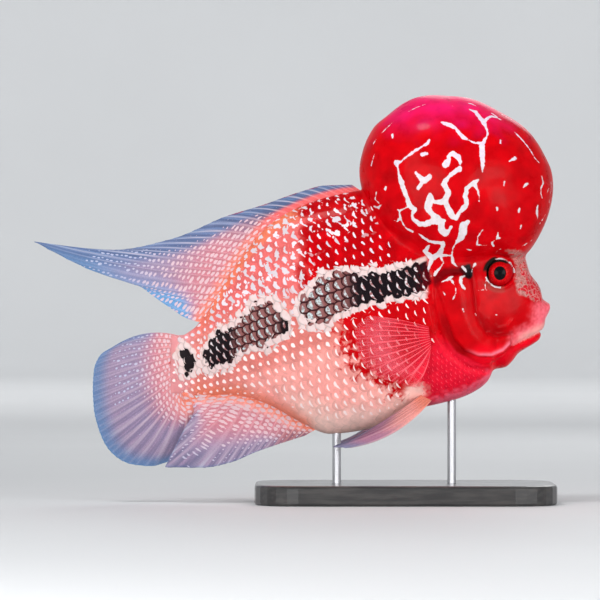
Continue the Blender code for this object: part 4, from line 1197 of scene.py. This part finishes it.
def build_fins():
    """Dorsal, anal and caudal fins on the mid line, pectoral and pelvic fins on each side."""

    def on_line(x, _):
        return np.zeros(np.shape(x))

    def waving(far):
        return lambda out, length: far * out**1.5 * np.minimum(1.0, length / FULL_SWAY_LENGTH)

    def height_at(x, above):
        return float(section(np.array([x]))[0 if above else 1][0])

    dorsal = [(n, (x, height_at(x, True)), tip, bow) for n, x, tip, bow in DORSAL_RAYS]
    anal = [(n, (x, height_at(x, False)), tip, bow) for n, x, tip, bow in (*ANAL_RAYS, ANAL_END)]
    made = [
        ("dorsal_fin", dorsal, DORSAL_SWAY, DORSAL_FORM, dorsal_colours),
        ("anal_fin", anal, ANAL_SWAY, ANAL_FORM, anal_colours),
        ("caudal_fin", CAUDAL_RAYS, CAUDAL_SWAY, CAUDAL_FORM, caudal_colours),
    ]
    for node, rays, sway, form, colours in made:
        fin = build_fin(node + "_skin", rays, on_line, waving(sway), form, colours)
        wear(fin, fin_look(node), node, "fin_" + node.split("_")[0])
    for word, side in (("right", -1), ("left", 1)):

        def rooted(x, z, side=side):
            return side * (half_width_at(x, z) + GAP + FIN_ROOT_HALF)

        def spreading(far, power, side=side):
            return lambda out, length: side * far * out**power

        pairs = (
            ("pectoral_fin_", PECTORAL_RAYS, (PECTORAL_SPREAD, 1.0), PECTORAL_FORM, pectoral_colours),
            ("pelvic_fin_", PELVIC_RAYS, (PELVIC_SPREAD, 0.7), PELVIC_FORM, pelvic_colours),
        )
        for start, rays, spread, form, colours in pairs:
            node = start + word
            fin = build_fin(node + "_skin", rays, rooted, spreading(*spread), form, colours, sunk=1.5)
            wear(fin, fin_look(node), node, "fin_" + node.split("_")[0])


def wear(piece, look, node, slot):
    """Gives a piece its material, sets it on the body and hides the solid it shows in place of."""
    piece.data.materials.clear()
    piece.data.materials.append(look)
    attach(piece, "root")
    if node:
        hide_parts(node)


def build_eye(word, side, look):
    """An eyeball turned round its outward axis, with the pupil a little sunk and the iris sloping to it."""
    x, z = EYE_CENTRE
    middle = side * (float(half_width_at(np.array([x]), np.array([z]))[0]) - EYE_SUNK)
    around, rings = 96, 60
    turn = np.linspace(0, 2 * math.pi, around, endpoint=False)
    points, flat = [], []
    for lean in np.linspace(0.02, math.pi - 0.02, rings):
        radius, high = EYE_RADIUS * math.sin(lean), EYE_DEPTH * math.cos(lean)
        if high > 0:
            high -= 0.45 * float(soft(radius, 4.4, 3.2))
            high -= 0.25 * float(soft(radius, 7.0, 6.4) * soft(radius, 5.2, 6.6))
        for t in turn:
            points.append((x + radius * math.cos(t), middle + side * high, z + radius * math.sin(t)))
            flat.append((radius * math.cos(t), radius * math.sin(t), float(high > 0)))
    faces = ring_faces(rings, around).tolist()
    faces += [list(range(around))[::-1], list(range((rings - 1) * around, rings * around))]
    eye = closed_object("eyeball_" + word, points, faces)
    keep_values(eye.data, "iris", flat)
    wear(eye, look, "eye_" + word, "eye")


class Value:
    """A node's output, which operators take further through math nodes."""

    def __init__(self, look, socket):
        self.look = look
        self.socket = socket

    def math(self, operation, *others):
        return self.look.math(operation, self, *others)

    def __rsub__(self, first):
        return self.look.math("SUBTRACT", first, self)

    __add__ = partialmethod(math, "ADD")
    __sub__ = partialmethod(math, "SUBTRACT")
    __mul__ = partialmethod(math, "MULTIPLY")
    __truediv__ = partialmethod(math, "DIVIDE")
    __pow__ = partialmethod(math, "POWER")
    __mod__ = partialmethod(math, "MODULO")
    __abs__ = partialmethod(math, "ABSOLUTE")
    larger = partialmethod(math, "MAXIMUM")
    root = partialmethod(math, "SQRT")
    fraction = partialmethod(math, "FRACT")
    floor = partialmethod(math, "FLOOR")
    sine = partialmethod(math, "SINE")

    def step(self, low, high, start=0.0, end=1.0):
        """A smooth step, from start at low to end at high."""
        node = self.look.tree.nodes.new("ShaderNodeMapRange")
        node.interpolation_type = "SMOOTHSTEP"
        for given, socket in zip((self, low, high, start, end), node.inputs):
            self.look.put(given, socket)
        return Value(self.look, node.outputs[0])

    def shade(self, factor):
        """A colour made darker or lighter by a number."""
        node = self.look.tree.nodes.new("ShaderNodeVectorMath")
        node.operation = "SCALE"
        self.look.put(self, node.inputs[0])
        self.look.put(factor, node.inputs["Scale"])
        return Value(self.look, node.outputs[0])


class Look:
    """A material whose nodes are set out by short calls, each giving the value it ends in."""

    def __init__(self, name, **values):
        self.material = bpy.data.materials.new(name)
        self.material.use_nodes = True
        self.tree = self.material.node_tree
        self.shader = self.tree.nodes["Principled BSDF"]
        for socket, value in values.items():
            self.set(socket.replace("_", " "), value)

    def put(self, value, socket):
        if isinstance(value, Value):
            self.tree.links.new(value.socket, socket)
        elif isinstance(value, tuple) and socket.type == "RGBA":
            socket.default_value = (*value, 1.0)
        else:
            socket.default_value = value

    def set(self, socket, value):
        self.put(value, self.shader.inputs[socket])

    def math(self, operation, *values):
        node = self.tree.nodes.new("ShaderNodeMath")
        node.operation = operation
        for value, socket in zip(values, node.inputs):
            self.put(value, socket)
        return Value(self, node.outputs[0])

    def mix(self, share, first, second, way="MIX"):
        node = self.tree.nodes.new("ShaderNodeMix")
        node.data_type = "RGBA"
        node.blend_type = way
        for given, number in ((share, 0), (first, 6), (second, 7)):
            self.put(given, node.inputs[number])
        return Value(self, node.outputs[2])

    def read(self, name):
        """The stored values of a mesh by name: Color, Vector, Fac and Alpha."""
        node = self.tree.nodes.new("ShaderNodeAttribute")
        node.attribute_name = name
        return {socket.name: Value(self, socket) for socket in node.outputs}

    def parts(self, vector):
        node = self.tree.nodes.new("ShaderNodeSeparateXYZ")
        self.put(vector, node.inputs[0])
        return [Value(self, socket) for socket in node.outputs]

    def joined(self, x, y):
        node = self.tree.nodes.new("ShaderNodeCombineXYZ")
        self.put(x, node.inputs[0])
        self.put(y, node.inputs[1])
        return Value(self, node.outputs[0])

    def place(self, stretch=None):
        """The point of the object, in metres, stretched along each axis if wished."""
        node = self.tree.nodes.new("ShaderNodeTexCoord")
        place = Value(self, node.outputs["Object"])
        if stretch is None:
            return place
        mapping = self.tree.nodes.new("ShaderNodeMapping")
        mapping.inputs["Scale"].default_value = stretch
        self.put(place, mapping.inputs[0])
        return Value(self, mapping.outputs[0])

    def texture(self, kind, size, vector):
        """A texture node of a size in mm."""
        node = self.tree.nodes.new(kind)
        node.inputs["Scale"].default_value = 1.0 / (size * MM)
        self.put(vector, node.inputs["Vector"])
        return node

    def noise(self, size, detail=2.0, vector=None):
        """Cloudy noise, 0 to 1."""
        node = self.texture("ShaderNodeTexNoise", size, vector or self.place())
        node.inputs["Detail"].default_value = detail
        return Value(self, node.outputs["Fac"])

    def clouds(self, size):
        """Three cloudy values at once, for shifting a place."""
        return Value(self, self.texture("ShaderNodeTexNoise", size, self.place()).outputs["Color"])

    def net(self, size, vector):
        """Distance to the edges of the cells of a net."""
        node = self.texture("ShaderNodeTexVoronoi", size, vector)
        node.feature = "DISTANCE_TO_EDGE"
        return Value(self, node.outputs["Distance"])

    def bump(self, height, depth, strength):
        """Bumps as deep as a number of mm."""
        node = self.tree.nodes.new("ShaderNodeBump")
        node.inputs["Distance"].default_value = depth * MM
        node.inputs["Strength"].default_value = strength
        self.put(height, node.inputs["Height"])
        self.set("Normal", Value(self, node.outputs[0]))


def skin_look():
    """Wet skin: its ground colour clouded a little, white veins, the netted snout and the ring of the eye."""
    look = Look("wet_skin", **FLESH)
    look.set("Subsurface Radius", FLESH_RADIUS)
    veins, snout, _ = look.parts(look.read("marks")["Vector"])
    x, _, z = look.parts(look.place())
    cloud = look.noise(9.0, 3.0)
    fine = look.noise(1.6)
    colour = look.read("ground")["Color"].shade(cloud.step(0.25, 0.75, 0.86, 1.10))

    patches = look.noise(3.4, 3.0) + x.step(0.064, 0.078, -0.06, 0.12)
    netted = look.mix(patches.step(0.50, 0.56), SNOUT_GREY, SNOUT_RED)
    net = look.net(2.8, look.mix(0.003, look.place(), look.clouds(2.4), "ADD"))
    netted = look.mix(net.step(0.09, 0.02, 0.0, 0.75), netted, NET_PINK)
    netted = look.mix(look.noise(0.8).step(0.52, 0.66, 0.0, 0.35), netted, SPECKLE_PINK)
    snout = (snout + fine * 2.4 - 1.2).step(-0.8, 1.4)
    colour = look.mix(snout * 0.9, colour, netted)

    wander = (look.noise(2.6) - 0.62) * 1.7
    white = (veins + wander).step(-0.12, 0.16)
    tint = look.mix(z.step(0.185, 0.215), VEIN_GREY, VEIN_LILAC)
    colour = look.mix(white, colour, look.mix(look.noise(2.2), tint, VEIN_WHITE))
    look.set("Base Color", colour)
    look.set("Roughness", cloud.step(0.3, 0.7, 0.26, 0.36))
    look.bump(white * 0.5 + fine, 0.1, 0.5)
    return look.material


def scale_look():
    """Scales: ground colour, a pearl on each, the black band with its toothed pale border, and fine rings."""
    look = Look("scales", **FLESH)
    look.set("Subsurface Radius", FLESH_RADIUS)
    u, v, chance = look.parts(look.read("plate")["Vector"])
    long, wide, lean = look.parts(look.read("spot")["Vector"])
    depth, black, bordered = look.parts(look.read("band")["Vector"])
    ground = look.read("ground")
    mark = look.read("mark")
    x, _, _ = look.parts(look.place())
    cloud = look.noise(6.0, 3.0)
    rough = look.noise(2.2, 1.0) - 0.5
    edge = (abs(u) * 0.98).larger(v + u**2.0 * 0.12)
    colour = ground["Color"].shade(cloud.step(0.25, 0.75, 0.86, 1.10))
    colour = colour.shade(edge.step(0.88, 1.0, 1.0, 0.90))

    # Each scale moves the band's edge a little, so that it ends in teeth
    tooth = (ground["Alpha"] - 0.5) * 4.2
    point = abs(v - 0.76) * -5.0
    teeth = depth + tooth + point + rough * 1.4 + 0.7
    pale = (teeth - point * 1.6).step(-3.3, -2.7) * bordered
    dark = teeth.step(-0.25, 0.25)
    creamy = look.mix(look.noise(2.4), CREAM, LIGHT_CREAM)
    colour = look.mix(pale, colour, creamy.shade(edge.step(0.86, 1.0, 1.0, 0.72)))
    brown = look.mix(look.noise(1.4), BROWN, LIGHT_BROWN)
    rim = edge.step(0.84, 0.97).larger(abs(u).step(0.55, 0.72))
    brown = look.mix(rim, brown, RIM_BROWN)
    inky = look.mix(black, brown, look.mix(x.step(0.004, 0.014), BLACK, BLACK_WINE))
    colour = look.mix(dark, colour, inky)

    # One leaning pearl with a ragged edge on each scale
    across = (u / long.larger(0.001)) ** 2.0
    along = ((v - (lean * u + 0.77)) / wide.larger(0.001)) ** 2.0
    ragged = rough * mark["Alpha"].step(0.0, 1.0, 1.1, 2.4)
    pearl = ((across + along).root() + ragged).step(1.05, 0.80)
    kept = long.step(0.05, 0.15) * (1.0 - pale)
    in_band = dark * (depth + chance).step(0.6, 1.2) * x.step(-0.123, -0.121)
    worn = look.noise(3.6, 0.6).step(0.63, 0.66) * mark["Alpha"]
    pearl = look.mix(dark, (pearl * kept).larger(worn), pearl * in_band)
    blue = look.mix(look.noise(0.9).step(0.35, 0.65), DULL_PEARL, GREY_BLUE)
    streaky = look.mix(look.noise(1.6).step(0.40, 0.62), STREAK_BROWN, STREAK_PALE)
    tint = look.mix(dark, mark["Color"], look.mix(black, blue, streaky))
    look.set("Base Color", look.mix(pearl, colour, tint))
    look.set("Roughness", cloud.step(0.3, 0.7, 0.28, 0.40))
    look.set("Coat Weight", dark.step(0.0, 1.0, 0.07, 0.02))
    rings = (edge * 70.0).sine()
    look.bump(pearl + rings * 0.06 + look.noise(0.9, 1.0), 0.12, 0.5)
    return look.material


def fin_dots(look, number, away, dots, stretch):
    """Rows of pearly dots between the rays, which draw out into dashes where stretch is 1."""
    column = number.floor()
    row = away / DOT_PITCH + column % 2.0 * 0.5
    chance = look.tree.nodes.new("ShaderNodeTexWhiteNoise")
    look.put(look.joined(column, row.floor()), chance.inputs["Vector"])
    red, green, _ = look.parts(Value(look, chance.outputs["Color"]))
    aside = number.fraction() - 0.5 + (red - 0.5) * 0.34
    along = row.fraction() - 0.5 + (green - 0.5) * 0.34
    near = away.step(30.0, 6.0, 1.0, 1.25)
    a = aside / (near * stretch.step(0.0, 1.0, 0.35, 0.20))
    b = along / (near * stretch.step(0.0, 1.0, 0.33, 0.52))
    ragged = (look.noise(1.5) - 0.5) * 1.1
    reach = (a**2.0 + b**2.0).root() + ragged + (1.0 - dots) + red * 0.25
    return reach.step(1.12, 0.86)


def fin_look(node):
    """Fin membrane: rays and dark streaks, with pearly dots or, on a pectoral fin, joints across the rays."""
    look = Look(node, Coat_Weight=0.08, Coat_Roughness=0.12, Specular_IOR_Level=0.12, Roughness=0.4)
    number, away, out = look.parts(look.read("fin")["Vector"])
    dots, stretch, streaks = look.parts(look.read("tone")["Vector"])
    ground = look.read("ground")
    ray = look.read("ray")["Fac"]
    streak = look.noise(0.8, 2.0, look.joined(number * 0.004, away * 0.00002))
    from_ray = abs((number + 0.5).fraction() - 0.5)
    fine = look.noise(0.8)
    colour = ground["Color"].shade(fine.step(0.25, 0.75, 0.88, 1.10))
    shadowed = streak.step(0.66, 0.42) * (streaks * from_ray.step(0.12, 0.24))
    colour = look.mix(shadowed * 0.8, colour, STREAK_BLUE)
    lit = from_ray.step(0.16, 0.05) * (streaks * streak.step(0.3, 0.6))
    colour = look.mix(lit * 0.7, colour, look.mix(out, LIT_PINK, LIT_BLUE))
    segments = (away * 5.2).sine()
    beads = ray * segments.step(-0.4, 0.6, 0.7, 1.0)
    if node.startswith("pectoral"):
        colour = look.mix(beads * 0.9, colour, PECTORAL_PALE)
        joint = abs((away / 4.2).fraction() - 0.5).step(0.10, 0.05) * out.step(0.35, 0.5)
        ray = ray.larger(joint * 0.6)
        colour = look.mix(joint * 0.6, colour, PECTORAL_PALE)
        seen = out.step(0.3, 1.0, 0.85, 0.35)
    else:
        colour = look.mix(beads * 0.22, colour, look.mix(0.5, ground["Color"], RAY_PALE))
        dot = fin_dots(look, number, away, dots, stretch)
        colour = look.mix(dot * 0.92, colour, look.mix(stretch, DOT_PINK, DASH_BLUE))
        seen = 0.8
    look.set("Base Color", colour)
    look.set("Alpha", ground["Alpha"].larger(ray * seen))
    look.bump(segments * 0.15 + fine, 0.1, 0.4)
    return look.material


def eye_look():
    """Black pupil, red iris with fine spokes and a darker rim, under a wet gloss."""
    look = Look("eye", Coat_Weight=0.1, Coat_Roughness=0.02, Roughness=0.3, Specular_IOR_Level=0.03)
    across, up, _ = look.parts(look.read("iris")["Vector"])
    pupil = ((across / PUPIL_RADII[0]) ** 2.0 + (up / PUPIL_RADII[1]) ** 2.0).root()
    from_middle = (across**2.0 + up**2.0).root()
    turn = up.math("ARCTAN2", across)
    spokes = look.noise(1.0, 2.0, look.joined(turn * 0.012, from_middle * 0.0003))
    iris = look.mix(spokes.step(0.3, 0.7), IRIS_RED, SPOKE_RED)
    iris = look.mix(from_middle.step(IRIS_RADIUS - 2.2, IRIS_RADIUS, 0.0, 0.5), iris, SHADE_RED)
    corner = up * 0.75 - across * 0.66
    socket = look.mix(corner.step(0.5, 2.5), SOCKET_RED, SOCKET_BLACK)
    colour = look.mix(from_middle.step(IRIS_RADIUS - 0.1, IRIS_RADIUS + 0.15), iris, socket)
    look.set("Base Color", look.mix(pupil.step(1.03, 0.98), colour, PUPIL_BLACK))
    return look.material


def lacquer_look():
    """Black satin lacquer over open-grained wood."""
    look = Look("black_lacquer", Coat_Weight=0.5, Coat_Roughness=0.12)
    grain = look.noise(2.2, 5.0, look.place((0.12, 1.0, 1.0)))
    look.set("Base Color", look.mix(grain.step(0.35, 0.7), LACQUER, LACQUER_GRAIN))
    look.set("Roughness", grain.step(0.3, 0.7, 0.3, 0.42))
    look.bump(grain, 0.15, 0.4)
    return look.material


def steel_look():
    """Turned steel with fine rings round the rod."""
    look = Look("brushed_steel", Metallic=1.0)
    rings = look.noise(0.5, 2.0, look.place((0.05, 0.05, 1.0)))
    look.set("Base Color", look.mix(rings, DARK_STEEL, LIGHT_STEEL))
    look.set("Roughness", rings.step(0.3, 0.7, 0.32, 0.42))
    look.bump(rings, 0.02, 0.2)
    return look.material


def stage_look():
    look = Look("pale_stage", Roughness=0.7)
    look.set("Base Color", look.mix(look.noise(300.0), DARK_STAGE, LIGHT_STAGE))
    return look.material


def build_stage():
    """A round pale floor that turns up into a low wall all round, open at the top."""
    flat, turn_radius, top = 5000.0, 1200.0, 2200.0
    profile = [(r, 0.0) for r in (300.0, 1000.0, 2500.0, flat)]
    for lean in np.linspace(0, math.pi / 2, 14)[1:]:
        profile.append((flat + turn_radius * math.sin(lean), turn_radius * (1 - math.cos(lean))))
    profile.append((flat + turn_radius, top))
    around = 96
    turn = np.linspace(0, 2 * math.pi, around, endpoint=False)
    points = [(r * math.cos(t), r * math.sin(t), h) for r, h in profile for t in turn]
    faces = ring_faces(len(profile), around)[:, ::-1].tolist()
    floor = mesh_object("floor", points, [*faces, list(range(around))])
    floor.data.shade_smooth()
    floor.data.materials.append(stage_look())


def build_light(name, place, target, size, power):
    lamp = bpy.data.lights.new(name, "AREA")
    lamp.shape = "DISK"
    lamp.size = size
    lamp.energy = power
    made = add_object(name, lamp)
    made.location = place
    made.rotation_euler = (Vector(target) - Vector(place)).to_track_quat("-Z", "Y").to_euler()


def build_studio():
    """Soft lamps round the fish and eight more on the wall, under a pale sky."""
    for lamp in LAMPS:
        build_light(*lamp)
    for number in range(8):
        turn = math.radians(45 * number + 22.5)
        start = (3.0 * math.cos(turn), 3.0 * math.sin(turn), 2.6)
        wall = (5.6 * math.cos(turn), 5.6 * math.sin(turn), 0.0)
        build_light(f"wall_{number + 1}", start, wall, 1.2, 38.0)
    world = bpy.data.worlds.new("studio")
    world.use_nodes = True
    sky = world.node_tree.nodes["Background"]
    sky.inputs["Color"].default_value = (*SKY, 1.0)
    sky.inputs["Strength"].default_value = 0.5
    bpy.context.scene.world = world
    bpy.context.scene.view_settings.view_transform = "Standard"


def build_camera():
    lens = bpy.data.cameras.new("camera")
    lens.lens = CAMERA_LENS
    lens.sensor_width = CAMERA_SENSOR
    camera = add_object("camera", lens)
    camera.location = (CAMERA_X * MM, -CAMERA_AWAY * MM, CAMERA_HEIGHT * MM)
    camera.rotation_euler = (math.radians(90), 0.0, 0.0)
    bpy.context.scene.camera = camera


def behind_slit(x, z):
    """Whether a place lies behind the gill cover and off the smooth pale patch."""
    slit_x, slit_z = zip(*GILL_SLIT_LINE[::-1])
    off_patch = math.hypot(x - PALE_PATCH[0], (z - PALE_PATCH[1]) * PATCH_SHAPE) > 5.5
    return off_patch and x < np.interp(z, slit_z, slit_x) - 2.5


def flank_wanted(x, _, z):
    """Whether the flank's scales grow at a place: below the hump's crease and above the breast."""
    on_breast = x > 6 and z < BREAST_TOP
    return behind_slit(x, z) and (z < crease_height(x) - 1.0 or x < -34) and not on_breast


def breast_wanted(x, _, z):
    return behind_slit(x, z) and x > 5.0 and z < BREAST_TOP


def breast_height(x):
    """The height on the breast from which its columns of scales are laid."""
    return 78.0 + 0.35 * (x - 20)


def main():
    build_camera()
    skin = build_skin()
    corners = [tuple(point) for point in read_points(skin.data).tolist()]
    tree = BVHTree.FromPolygons(corners, [tuple(face.vertices) for face in skin.data.polygons])
    paint_skin(skin, tree)
    wear(skin, skin_look(), None, "skin_body")
    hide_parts(*FLESH_NODES)
    scales = scale_look()
    for word, side in (("right", -1), ("left", 1)):
        flank = build_scales("scales_" + word, side, tree, axis_height, flank_wanted, 1.0)
        breast = build_scales("breast_scales_" + word, side, tree, breast_height, breast_wanted, BREAST_SHARE)
        wear(flank, scales, None, "skin_body")
        wear(breast, scales, None, "skin_body")
        build_eye(word, side, eye_look())
    build_fins()
    stand = (
        ("stand_base", lacquer_look()),
        ("stand_rod_front", steel_look()),
        ("stand_rod_rear", steel_look()),
    )
    for node, look in stand:
        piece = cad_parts[node]
        piece.data.materials.clear()
        piece.data.materials.append(look)
    build_stage()
    build_studio()


main()
